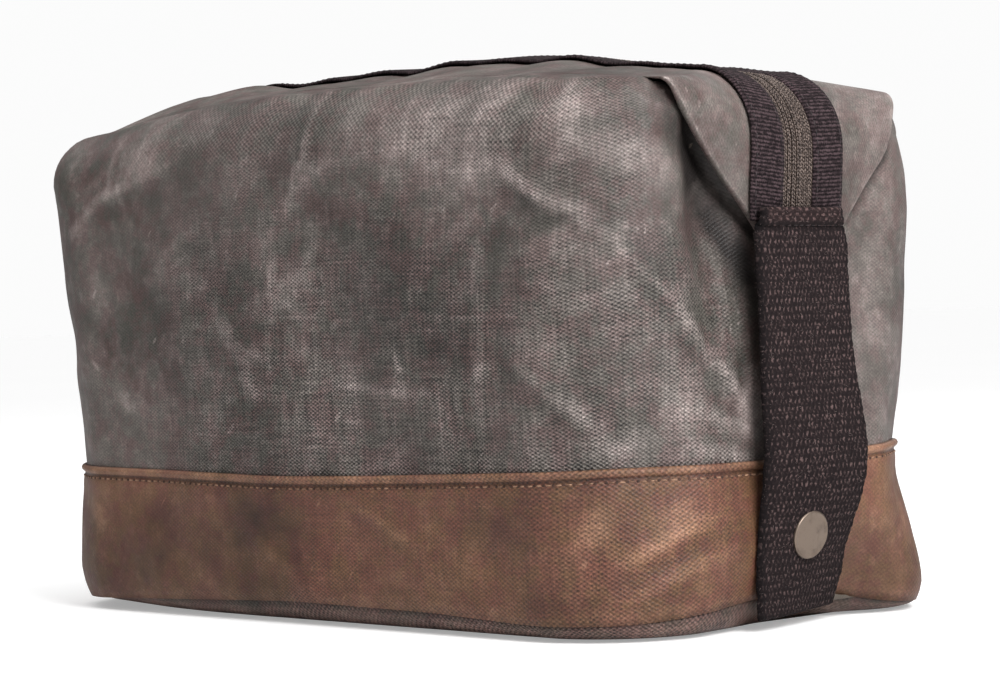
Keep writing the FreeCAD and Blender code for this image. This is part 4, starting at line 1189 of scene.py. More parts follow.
@dataclass(frozen=True)
class Lining(Finish):
    """Plain thin lining cloth."""

    base: Colour = srgb(92, 84, 76)

    def fill(self, g: Graph, shader: bpy.types.NodeInputs, effects: Effects) -> None:
        """Adds a fine weave and faint marks."""
        place = g.place()
        threads = g.group(effects.threads(), g.cloth(), 0.0005, 0.0005)
        tone = g.span(g.noise(place, 24.0, 4.0), 0.35, 0.7, 0.85, 1.1)
        shade = g.grey(g.mul(tone, g.span(threads["Top"], 0.0, 1.0, 0.88, 1.06)))
        g.feed(shader["Base Color"], g.mix(1.0, self.base, shade, "MULTIPLY"))
        shader["Roughness"].default_value = 0.85
        g.feed(shader["Normal"], g.bump(0.5, 0.00008, threads["Height"]))


@dataclass(frozen=True)
class Pewter(Finish):
    """Dull cast or plated metal, a little stained and rubbed."""

    base: Colour
    stain: Colour
    roughness: float

    def fill(self, g: Graph, shader: bpy.types.NodeInputs, effects: Effects) -> None:
        """Adds stains, a fine grain and small scratches."""
        place = g.place()
        cloud, grain = g.noise(place, 260.0, 4.0, 0.6), g.noise(place, 2400.0, 3.0, 0.7)
        marks = g.add(g.span(cloud, 0.45, 0.75, 0.0, 0.6), g.span(grain, 0.5, 0.8, 0.0, 0.25))
        g.feed(shader["Base Color"], g.mix(marks, self.base, self.stain))
        shader["Metallic"].default_value = 0.85
        g.feed(shader["Roughness"], g.add(self.roughness, g.mul(marks, 0.18)))
        g.feed(shader["Normal"], g.bump(0.25, 0.00006, grain))


CANVAS = WaxedCloth("bag_canvas", "bag_canvas")
BROWN = WaxedCloth("band_canvas", "band_canvas", srgb(57, 32, 22), srgb(90, 57, 43), srgb(154, 116, 93),
                   srgb(90, 46, 39), srgb(88, 64, 34), 0.00097, 0.00062, 0.85, 0.25, 0.56, 0.00026)
BASE_CLOTH = WaxedCloth("base_canvas", "bag_canvas", srgb(46, 30, 27), srgb(82, 57, 50), srgb(150, 120, 110),
                        wear=0.8, crisp=0.4)
WEBBING = WovenTape("webbing", "webbing")
RIBBON = WovenTape("ribbon", "grosgrain", srgb(17, 12, 14), srgb(71, 58, 61), 0.0004, 0.00107, 0.7, 0.45, 0.0002, 0.4)
TAPE = WovenTape("zip_tape", "zip_tape", srgb(38, 30, 27), srgb(84, 72, 64), 0.0005, 0.0009, 0.3, 0.3, 0.00015)
COIL = Yarn("zip_loops", "zip_coil", srgb(38, 30, 28), srgb(114, 100, 93), 1700.0)
DARK_THREAD = Yarn("dark_thread", "grosgrain", srgb(20, 16, 18), srgb(54, 45, 47))
HOLE_SHADE = Yarn("needle_hole_shade", "band_canvas", srgb(48, 31, 24), srgb(74, 50, 39))
FLUFF = Yarn("lint", "webbing", srgb(30, 24, 26), srgb(104, 88, 86))
BROWN_THREAD = Yarn("brown_thread", "band_canvas", srgb(94, 68, 53), srgb(154, 121, 98))
INNER = Lining("lining", "lining")
SNAP_METAL = Pewter("snap_metal", "snap_metal", srgb(124, 110, 99), srgb(84, 73, 65), 0.42)
SLIDER_METAL = Pewter("slider_metal", "slider_metal", srgb(120, 112, 102), srgb(70, 62, 54), 0.36)

# --- the bag's parts -----------------------------------------------------------------------------------------


@dataclass(frozen=True)
class Bend:
    """Where a piece of cloth would bend between two bodies. Only its type is looked at: a piece given one is fixed to
    no body.

    Attributes:
        bodies: The body it follows before start, and after end. Not used.
        start: A point, in millimetres. Not used.
        end: Another. Not used.
    """

    bodies: tuple[str, str]
    start: tuple[float, float, float]
    end: tuple[float, float, float]


class Shop:
    """What every maker needs: the form, the finishes, and the way a piece joins the part."""

    def __init__(self) -> None:
        self.form = Form()
        self.effects = Effects()
        self.materials: dict[str, bpy.types.Material] = {}

    def join(self, piece: bpy.types.Object, kind: Finish, body: str | Bend, *nodes: str) -> None:
        """Gives a piece its finish, and fixes it to a body unless it is given a bend.

        Args:
            piece: The piece.
            kind: Its finish.
            body: The body it is fixed to, or a bend, in which case it is fixed to no body and only has its transform
                applied.
            nodes: The solids that it stands for.
        """
        if kind.name not in self.materials:
            self.materials[kind.name] = kind.build(self.effects)
        piece.data.materials.append(self.materials[kind.name])
        if isinstance(body, Bend):
            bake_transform(piece)
        else:
            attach(piece, body)
        if nodes:
            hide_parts(*nodes)
        log.info("%s: %d faces", piece.name, len(piece.data.polygons))


@dataclass
class Body:
    """The canvas walls, their lining, the base and the band."""

    shop: Shop
    step: float = 1.3
    wall_rows: int = 84
    arc_rows: int = 10
    base_reach: tuple[float, ...] = (9, 14, 22, 34, 48, 62, 67)
    band_profile: Rows = (
        (-3.0, -0.6), (-0.4, -0.5), (0.2, 0.1), (0.2, 0.8), (-0.1, 1.35), (-0.7, 1.75), (-1.4, 1.7), (-1.9, 1.25),
        (-2.3, 0.8), (-2.7, 0.75), (-3.2, 1.0), (-4.0, 1.2), (-5.2, 1.35))

    def _sheet(self, name: str, kind: Finish, run: Array, points: Array, nodes: Sequence[str],
               wear: Array | None = None, flip: bool = True, drop: Array | None = None) -> None:
        """A sheet that goes all round the bag.

        Args:
            name: The piece's name.
            kind: Its finish.
            run: Distances along the plan, for the first axis of points.
            points: Shape (n, m, 3).
            nodes: The solids that it stands for.
            wear: Shape (n, m), or None.
            flip: True if it would face inwards.
            drop: Distances down the cloth, for the second axis, or None to measure them.
        """
        uv = np.stack(mesh_of(run, distances(points.mean(0)) if drop is None else drop), -1)
        self.shop.join(skin(name, Patch(points, uv, True, wear), flip), kind, "shell", *nodes)

    def walls(self) -> None:
        """The canvas from behind the band over the shoulders to the edge of the lids."""
        form = self.shop.form
        q, run = form.stations(self.step)
        _, n = form.plan(q, BAG.half_length_top, BAG.half_depth_top, BAG.corner_top)
        inset = BAG.half_depth_top - 0.3 - BAG.shoulder * (1 - math.cos(BAG.shoulder_turn)) - BAG.mouth_half
        reach = 12.0 + (inset - 5.0) * np.abs(n[:, 1]) ** 4
        rise = np.linspace(0, 1, self.wall_rows)
        turn = np.linspace(0, 1, self.arc_rows + 1)[1:] * BAG.shoulder_turn
        tuck = np.linspace(0, 1, 9)[1:]
        share = np.concatenate([rise, np.ones(len(turn) + len(tuck))])
        arc = np.concatenate([0 * rise, turn, np.full(len(tuck), BAG.shoulder_turn)])
        inward = np.concatenate([0 * rise, 0 * turn, tuck]) * reach[:, None]
        points, rub = form.wall(q[:, None], share, arc, inward)
        self._sheet("canvas_walls", CANVAS, run, points, ("front_canvas", "back_canvas"), rub, flip=False)

    def lining(self) -> None:
        """The lining inside the walls and over the floor."""
        form = self.shop.form
        q, run = form.stations(4.0)
        rise = np.linspace(0, 1, 24)
        turn = np.array([0.4, 0.8, 1.0]) * BAG.shoulder_turn
        points, _ = form.wall(q[:, None], np.concatenate([rise, np.ones(3)]), np.concatenate([0 * rise, turn]),
                              foot=8.0, out=-BAG.lining_gap)
        floor = [form.inset(q, lean, lean, lean, 0.5, z) for lean, z in
                 ((68, 4.2), (62, 4.2), (42, 4.2), (24, 4.2), (12, 4.2), (6, 5.4))]
        points = np.concatenate([np.stack(floor, 1), points], 1)
        self._sheet("inner_lining", INNER, run, points, ("front_lining", "back_lining"),
                    drop=np.arange(points.shape[1]) * 5.0)

    def base(self) -> None:
        """The canvas base, from behind the band's foot round to the ground."""
        form = self.shop.form
        q, run = form.stations(self.step)
        seam = form.seam(run)
        rows = [form.side(q, seam + 2.5, -0.6)[0], form.side(q, seam + 0.6, -0.5)[0]]
        for turn in np.linspace(0.02, 1, 9) * np.pi / 2:
            rows.append(form.side(q, seam - (seam - 0.7) * np.sin(turn), -0.2 - 7.5 * (1 - np.cos(turn)))[0])
        rows += [form.inset(q, lean + 6, lean + 1.5, lean + 6, 0.6, 0.45) for lean in self.base_reach]
        points = np.stack(rows, 1)
        x, y, z = np.moveaxis(points, -1, 0)
        z += 0.35 * form.medium(points, 22.0) * smooth(z, 0.2, 3)
        z += 2.8 * bell(np.hypot(x + 122, y + 60), 42) * (1 - smooth(z, 1, 9))
        z[:] = np.maximum(z, 0.15)
        wear = np.broadcast_to(np.repeat([0, 0.35, 0], [4, 6, len(rows) - 10]), z.shape)
        self._sheet("canvas_base", BASE_CLOTH, run, points, ("base_panel",), wear)

    def band(self) -> None:
        """The brown band with its turned top edge."""
        form = self.shop.form
        q, run = form.stations(self.step)
        top, seam = form.band_top(run), form.seam(run)
        rows = []
        for dz, out in self.band_profile:
            # The rows tucked in at the top and in the groove under the turned edge are darkened: painted shade.
            groove = -2.8 < dz < -2.2 or out < 0.5
            rows.append((top + dz, out, 0.42 if out > 1.0 and dz > -2.0 else -0.55 if groove else 0.0))
        start = top + self.band_profile[-1][0]
        for t in np.linspace(0, 1, 17)[1:]:
            out = BAND.thickness + 0.15 * (1 - t) - 0.9 * smooth(t, 0.90, 1.0)
            rows.append((start + (seam - start) * t, out, 0.25 * smooth(t, 0.85, 1.0)))
        rows.append((seam + 0.4, -0.9, 0.0))
        made = [(*form.side(q, z, out), more) for z, out, more in rows]
        wear = np.stack([rub + more for _, rub, more in made], 1)
        wear[:, -1] = 0
        self._sheet("band", BROWN, run, np.stack([points for points, _, _ in made], 1),
                    ("front_band", "back_band"), wear)

    def band_stitches(self) -> None:
        """One row of stitches along the band's turned edge, and dark dots between them that are painted shade for the
        needle holes.
        """
        form = self.shop.form
        q, run = form.stations(0.5)
        edge = form.side(q, form.band_top(run) - BAND.stitch_drop, BAND.stitch_lift)[0]
        steps = distances(edge)
        places = np.arange(BAND.stitch_pitch / 2, steps[-1], BAND.stitch_pitch)
        at, ahead, between = (np.stack([np.interp(places + on, steps, line) for line in edge.T], -1)
                              for on in (0, 1, BAND.stitch_pitch / 2))
        out = unit(np.cross(ahead - at, [0, 0, 1.0]))
        out *= np.where((out * at * [1, 1, 0]).sum(-1, keepdims=True) < 0, -1.0, 1.0)
        self.shop.join(beads("band_stitches", at, ahead - at, out, (1.7, 0.5, 0.45), 0.12), BROWN_THREAD, "shell")
        # The needle holes are dark beads: painted shade.
        self.shop.join(beads("band_needle_holes", between - 0.1 * out, ahead - at, out, (1.0, 0.9, 0.42)),
                       HOLE_SHADE, "shell")


@dataclass(frozen=True)
class Strip:
    """A strip laid along the crest of the bag.

    Attributes:
        part: What it is called in names of pieces.
        near: One edge across the bag.
        far: The other edge.
        lift: Height of its middle above the canvas.
        thickness: Its thickness.
        columns: Points across it.
        finish: Its finish.
    """

    part: str
    near: float
    far: float
    lift: float
    thickness: float
    columns: int
    finish: Finish

    def patch(self, form: Form, a: Array) -> Patch:
        """The strip's middle surface between two distances along the crest."""
        spot, across = mesh_of(a, np.linspace(self.near, self.far, self.columns))
        lift = np.full(self.columns, self.lift)
        lift[[0, -1]] -= 0.35
        return Patch(form.crest(spot, across + form.sway(spot), lift), np.stack([across - self.near, spot], -1))


STRIPS = {
    face: (Strip("ribbon", *ribbon, ZIP.ribbon_lift, ZIP.ribbon_thickness, 9, RIBBON),
           Strip("tape", *tape, ZIP.tape_lift, ZIP.tape_thickness, 7, TAPE))
    for face, ribbon, tape in (
        (Face.FRONT, (-ZIP.ribbon_outer, -ZIP.ribbon_inner), (-ZIP.tape_half, ZIP.split - ZIP.split_gap / 2)),
        (Face.BACK, (ZIP.ribbon_inner, ZIP.ribbon_outer), (ZIP.split + ZIP.split_gap / 2, ZIP.tape_half)))}
LOOP_COLUMNS = {Face.FRONT: (-6.2, -5.4, -4.6, -3.9),
                Face.BACK: (-2.4, -1.55, -0.7, 0.15, 1.0, 1.85, 2.7, 3.55, 4.4, 5.2)}


@dataclass
class ZipWork:
    """Ribbons, zip tapes, zip loops and edge stitches along any stretch of the crest."""

    shop: Shop

    def dress(self, face: Face, fine: Array, plain: Array, name: str, bend: Bend,
              nodes: Sequence[Sequence[str]]) -> None:
        """The ribbon, the zip tape and the loops of one long side.

        Args:
            face: The long side.
            fine: Distances along the crest, close together, for the ribbon.
            plain: The same, further apart, for the rest.
            name: The pieces' name, with braces where the part's goes.
            bend: The bend they are given, which leaves them fixed to no body.
            nodes: The solids that each of the three stands for.
        """
        for strip, a, solids in zip(STRIPS[face], (fine, plain), nodes):
            piece = thick(name.format(strip.part), strip.patch(self.shop.form, a), strip.thickness)
            self.shop.join(piece, strip.finish, bend, *solids)
        self.shop.join(self._loops(name.format("loops"), face, plain), COIL, bend, *nodes[-1])

    def _loops(self, name: str, face: Face, a: Array) -> bpy.types.Object:
        """The rows of knitted loops on one side of the zip, between two distances."""
        form = self.shop.form
        along = np.arange(a[0] + ZIP.tooth_pitch / 2, a[-1], ZIP.tooth_pitch)
        spots, ways, ups = [], [], []
        for k, y in enumerate(LOOP_COLUMNS[face]):
            shift = along + 0.4 * (k % 2)
            line = y + form.sway(shift)
            here = form.crest(shift, line, ZIP.loop_lift + (0.25 if k in (2, 3) else 0.0))
            there = form.crest(shift + (0.95 if k % 2 else -0.95), line + 0.42, ZIP.loop_lift + 0.05)
            spots.append(here)
            ways.append(there - here)
            ups.append(here - form.crest(shift, line))
        return beads(name, np.vstack(spots), np.vstack(ways), np.vstack(ups), (1.25, 0.46, 0.5), 0.12)

    def stitches(self, name: str, signs: Sequence[int], a: Array, bend: Bend) -> None:
        """Rows of stitches that follow the ribbons' edges, on one side of the zip or on both."""
        form = self.shop.form
        lines = [sign * y for sign in signs
                 for y in (ZIP.ribbon_inner + ZIP.edge_stitch, ZIP.ribbon_outer - ZIP.edge_stitch)]
        along = np.arange(a[0] + ZIP.stitch_pitch / 2, a[-1], ZIP.stitch_pitch)
        sway = form.sway(along)
        at, ahead, foot = (np.vstack([form.crest(along + on, y + sway, lift) for y in lines])
                           for on, lift in ((0, ZIP.stitch_lift), (1, ZIP.stitch_lift), (0, 0.0)))
        self.shop.join(beads(name, at, ahead - at, at - foot, (1.7, 0.34, 0.3), 0.08), DARK_THREAD, bend)


@dataclass
class Lid:
    """One long side's half of the top, which on the bag lifts about its shoulder to open the mouth; here it is made
    closed.
    """

    shop: Shop
    face: Face
    step: float = 1.25
    fine_step: float = 0.5
    skirt: Rows = ((4.5, -3.4), (3.0, -2.4), (1.5, -1.3))
    free: float = 22.0
    level: float = 160.0

    def build(self, side: Side) -> None:
        """Makes the half towards one end, closed; on the bag it lifts least at the mouth's end and fully near its
        middle.
        """
        form, label, sign = self.shop.form, self.face.label, self.face.value
        first = side is Side.RIGHT
        tag = f"{label}_lid_{side.label}"
        bend = Bend(("shell", f"{label}_lid"), (side.value * BAG.mouth_end, 0, self.level),
                    (side.value * self.free, 0, self.level))
        plain, fine = (np.sort(side.value * np.linspace(0, BAG.mouth_end, round(BAG.mouth_end / step) + 1))
                       for step in (self.step, self.fine_step))
        out, down = np.transpose(self.skirt)
        y = np.concatenate([BAG.mouth_half + out, np.linspace(BAG.mouth_half, 5.0, 30)])
        spot, across = mesh_of(plain, sign * y)
        uv = np.stack([spot + 300, across + 900], -1)
        for part, kind, lift, begin in (("canvas", CANVAS, 0.0, 0), ("lining", INNER, -1.0, 1)):
            points = form.crest(spot, across, lift)
            points[..., 2] += np.concatenate([down, np.zeros(30)])
            piece = skin(f"{tag}_{part}", Patch(points[:, begin:], uv[:, begin:]), (sign > 0) == (begin == 0))
            self.shop.join(piece, kind, bend, *((f"{label}_top_{part}",) if first else ()))
        work = ZipWork(self.shop)
        work.dress(self.face, fine, plain, tag + "_{}", bend,
                   [(f"{label}_{part}",) if first else () for part in ("ribbon", "zip_tape", "zip_coil")])
        work.stitches(f"{tag}_stitches", (sign,), plain, bend)


@dataclass
class Ear:
    """An end flap: the fixed end of the top, folded over and down the end wall to a hidden point.

    The edges have height and half-width pairs, one after another.
    """

    shop: Shop
    side: Side
    front_edge: tuple[float, ...] = (84, 0.4, 96, 2.5, 104, 9, 110, 15.6, 117.6, 22.7, 125, 30.4, 132.4, 37,
                                     138, 41.8, 143, 45.8, 148, 49, 152, 50.2, 160, 50.5)
    back_edge: tuple[float, ...] = (84, 0.6, 96, 8, 104, 14.5, 112, 21.7, 117.7, 26.7, 123.4, 31.5, 127.1, 35,
                                    130.6, 38.6, 133.5, 41, 138.2, 43.4, 145, 44.4, 149.6, 45, 160, 45.6)

    def _width(self, a: Array, face: Face) -> Array:
        """Half-width of the flap towards the front or the back, at distances along the crest."""
        form, edge = self.shop.form, self.front_edge if face is Face.FRONT else self.back_edge
        width = np.full(a.shape, 40.0)
        for _ in range(12):
            _, _, bend = form.fold(width)
            wanted = np.interp(form.crest(a, face.value * width)[..., 2], edge[::2], edge[1::2])
            over = BAG.mouth_half + (wanted - BAG.mouth_half) * smooth(np.abs(a), BAG.mouth_end, bend)
            width = 0.5 * width + 0.5 * np.where(np.abs(a) < bend, over, wanted)
        return width

    def build(self) -> None:
        """Makes the flap and all that is sewn to it."""
        form, tag, s = self.shop.form, self.side.label, self.side.value
        bend = Bend(("shell", f"{tag}_ear"), *((s * x, 0, z) for x, z in (EAR.bend_start, EAR.bend_end)))
        stop = form.along_at_height(self.side, EAR.tip)
        d = np.concatenate([np.arange(BAG.mouth_end, 112, 2.0), np.arange(112, stop, 1.0)])
        front, back = self._width(s * d, Face.FRONT), self._width(s * d, Face.BACK)
        roll = 0.25 + (EAR.roll - 0.25) * smooth(d, 124, 142)
        # One face, the rolled edge at the back, the other face, and the rolled edge at the front.
        flat = -front + roll + (front + back - 2 * roll) * np.linspace(0, 1, 61)[:, None]
        turn = np.linspace(0, np.pi, 8)[1:-1, None]
        y = np.concatenate([flat, back - roll + roll * np.sin(turn), flat[::-1], -front + roll - roll * np.sin(turn)])
        lift = -np.concatenate([0 * flat, roll * (1 - np.cos(turn)), 0 * flat + 2 * roll, roll * (1 + np.cos(turn))])
        wear = 0.45 * bell(np.minimum(y + front, back - y), 1.3) + 0.09 + 0.08 * smooth(y, 10, 30)
        wear = wear * smooth(d, 112, 130) * (lift > -0.1)
        uv = np.stack(np.broadcast_arrays(s * d + 300, y + 900), -1)
        flap = skin(f"{tag}_flap", Patch(form.crest(s * d, y, lift), uv, True, wear), s < 0)
        self.shop.join(flap, CANVAS, bend, *(f"{tag}_flap_{part}" for part in ("front", "back", "gusset")))
        self._trim(bend)

    def _trim(self, bend: Bend) -> None:
        """The ribbons, zip and stitches that run over the fold and under the strap's hem."""
        tag, work = self.side.label, ZipWork(self.shop)
        reach = self.shop.form.along_at_height(self.side, EAR.zip_end)
        fine = np.sort(self.side.value * np.linspace(BAG.mouth_end, reach, round((reach - BAG.mouth_end) / 0.5)))
        for face in Face:
            nodes = [(f"{tag}_end_{part}", f"{tag}_flap_{part}") if face is Face.FRONT else ()
                     for part in ("ribbons", "tapes", "coils")]
            work.dress(face, fine, fine[::2], f"{tag}_end_{{}}_{face.label}", bend, nodes)
        work.stitches(f"{tag}_end_stitches", (-1, 1), fine[::2], bend)


@dataclass
class Strap:
    """A webbing strap from its hem on the flap down the end, with its press stud.

    The strap's middle surface follows three curves over height: how far out its front edge and its back edge
    are, and how far it has shifted across the bag.
    """

    shop: Shop
    side: Side
    fine: float = 0.5
    columns: int = 81

    FRONT_X = Table((2, 131.9, 14, 131.7, 22, 132.6, 31, 133.9, 39, 135.4, 45, 136.7, 51, 137.5, 60, 137.1, 88, 136.9,
                     104, 136.6, 116, 136.5), 2.5)
    BACK_X = Table((2, 123.6, 4, 124.4, 7.4, 126, 11.5, 127.8, 15.6, 129, 20, 130.2, 24, 131.7, 28, 133.4,
                    32.4, 135.5, 36.6, 137.6, 41, 139.2, 45, 139.9, 51, 140.2, 57, 139.3, 63, 138.3, 71, 137,
                    79, 136.2, 92, 135.9, 116, 136), 2)
    SHIFT = Table((2, 0.5, 20, 0, 48, -0.6, 91, -1.5, 116, -2.4), 4)
    CAP = ((0.01, 1.4), (1.8, 1.38), (3.6, 1.3), (5.0, 1.18), (5.8, 1.06), (6.05, 1.12), (6.3, 1.18), (6.6, 1.1),
           (6.82, 0.88), (6.9, 0.6), (6.8, 0.15), (6.3, 0.0), (0.01, 0.0))
    SOCKET = ((1.9, 0.3), (2.3, 1.2), (3.2, 1.35), (4.6, 1.2), (5.8, 0.7), (6.2, 0.2), (6.0, 0.0), (1.9, 0.0))
    STUD = ((0.01, 1.5), (1.3, 1.45), (1.75, 1.1), (1.45, 0.7), (1.5, 0.45), (4.4, 0.4), (5.6, 0.15), (5.8, 0.0),
            (0.01, 0.0))
    EYELET = ((1.4, 0.3), (2.0, 0.75), (3.6, 0.6), (4.8, 0.25), (5.0, 0.0), (1.4, 0.0))

    def _x(self, y: Array | float, z: Array | float) -> Array:
        """The middle surface's distance from the bag's middle."""
        t = np.clip((y + STRAP.width / 2) / STRAP.width, 0, 1)
        crown = (0.9 + 0.7 * bell(z - SNAP.height, 14)) * (1 - (2 * t - 1) ** 2)
        return self.FRONT_X(z) * (1 - t) + self.BACK_X(z) * t + crown

    def build(self) -> None:
        """Makes the strap, its hem stitches and the press stud."""
        form, tag, s = self.shop.form, self.side.label, self.side.value
        bend = Bend((f"{tag}_ear", f"{tag}_tail"), *((s * STRAP.crease_x, 0, z) for z in STRAP.crease))
        rows = np.concatenate([[EAR.hem_height + 0.2, EAR.hem_height - 0.2],
                               np.arange(EAR.hem_height - 0.7, STRAP.bottom, -self.fine)])
        half = STRAP.width / 2
        z, across = mesh_of(rows, np.linspace(-half, half, self.columns))
        z = z + (1 - smooth(z, 2, 22)) * (0.9 * smooth(across, -half, half) + 0.2)
        edge, rim, hemmed = np.sign(across), half - np.abs(across), z > STRAP.hem_foot
        weft = np.cos(np.pi * z / STRAP.rib_pitch)
        ribs = 0.09 * np.abs(weft) + 0.05 * np.cos(2 * np.pi * across / STRAP.yarn_pitch) * weft * ~hemmed
        hem = 0.9 * (1 - smooth(np.abs(z - STRAP.hem_middle), 1.6, 2.6)) - 0.35 * bell(z - STRAP.hem_seam, 0.7)
        waver = 0.45 * form.medium(np.stack([across, z, 0 * z], -1) + 900, 24.0)
        ragged = 0.45 * form.fine(np.stack([0 * z + edge * 30, z, 0 * z], -1), 6.0) + 0.16 * edge * np.abs(weft)
        corner = -edge * 2.6 * smooth(z, 105, 116) ** 2
        y = across + (ragged + corner) * smooth(np.abs(across), 14, 19.5) + self.SHIFT(z)
        points = np.stack([s * (self._x(across, z) + ribs + hem + waver), y, z], -1)
        uv = np.where(hemmed[..., None], np.stack([0.6 * across + 80, 1.8 * z], -1), np.stack([across + 40, z], -1))
        # Painted shade: the strap is darker along both edges, more widely along its front edge, and in a line at the
        # hem's seam. The hem's face above the seam is paler.
        wear = (-0.42 * bell(rim, 1.3) - 0.22 * (1 - smooth(across, -19, -15))
                + 0.16 * (z > 112.8) * (rim > 2.2) - 0.7 * bell(z - 111.6, 0.8))
        points, uv, wear = (values[::-s] for values in (points, uv, wear))
        piece = thick(f"{tag}_strap_webbing", Patch(points, uv, wear=wear), STRAP.thickness)
        self.shop.join(piece, WEBBING, bend, f"{tag}_strap", f"{tag}_strap_tab")
        self.shop.join(self._fuzz(points), FLUFF, bend)
        self._hem()
        self._stud()

    def _fuzz(self, points: Array) -> bpy.types.Object:
        """Short fibres that stand out of the strap's edges and face."""
        dice = np.random.default_rng(31)
        at, up = [], []
        for column, count, aside in ((0, 420, -0.15), (-1, 420, 0.15), (None, 500, 0.0)):
            i = dice.integers(2, points.shape[0] - 1, count)
            j = dice.integers(3, points.shape[1] - 3, count) if column is None else column
            rise = unit(points[i, self.columns // 2] * [1, 0, 0])
            lift, spread = (STRAP.thickness / 2 + 0.05, 0.0) if column is None else (0.0, 0.35)
            at.append(points[i, j] + rise * (lift + spread * dice.normal(size=(count, 1))) + [0, aside, 0])
            up.append(rise)
        at = np.vstack(at)
        along = dice.normal(size=at.shape) * [0.45, 1.0, 1.0]
        return beads(f"{self.side.label}_strap_fuzz", at, along, np.vstack(up), (1.5, 0.11, 0.11), 0.25)

    def _hem(self) -> None:
        """A row of stitches across the strap's hem."""
        tag, s = self.side.label, self.side.value
        half, level = STRAP.width / 2 - 2.2, STRAP.hem_seam
        across = np.arange(-half, half, 2.6)
        at = np.stack([s * (self._x(across, level) + STRAP.thickness / 2), across + self.SHIFT(level),
                       np.full(across.shape, level)], -1)
        along, up = (np.tile(way, (len(across), 1)) for way in ([0.0, 1.0, 0.0], [float(s), 0.0, 0.0]))
        self.shop.join(beads(f"{tag}_hem_stitches", at, along, up, (2.0, 0.55, 0.5), 0.15), DARK_THREAD, f"{tag}_ear")

    def _stud(self) -> None:
        """The cap and socket on the strap, and the stud and eyelet on the band."""
        tag, s, z = self.side.label, self.side.value, SNAP.height
        out = unit(np.array([0.98 * s, -0.02, -0.20]))
        centre = np.array([s * (float(self._x(0.0, z)) + STRAP.thickness / 2 - 0.15), -1.0, z])
        low, wall, high = self.shop.form.side(np.full(3, 0.0 if s > 0 else 4.5), np.array([z - 5, z, z + 5]),
                                              BAND.thickness + 0.5)[0]
        away = unit(np.array([s * (high - low)[2], 0, -s * (high - low)[0]]))
        for part, body, profile, place, axis, sides in (
                ("cap", f"{tag}_tail", self.CAP, centre, out, 96),
                ("socket", f"{tag}_tail", self.SOCKET, centre - out * (STRAP.thickness + 0.05), -out, 72),
                ("stud", "shell", self.STUD, wall, away, 72),
                ("eyelet", "shell", self.EYELET, wall - 3.4 * away, -away, 72)):
            self.shop.join(lathe(f"{tag}_{part}", profile, place, axis, sides), SNAP_METAL, body,
                           f"{tag}_snap_{part}")


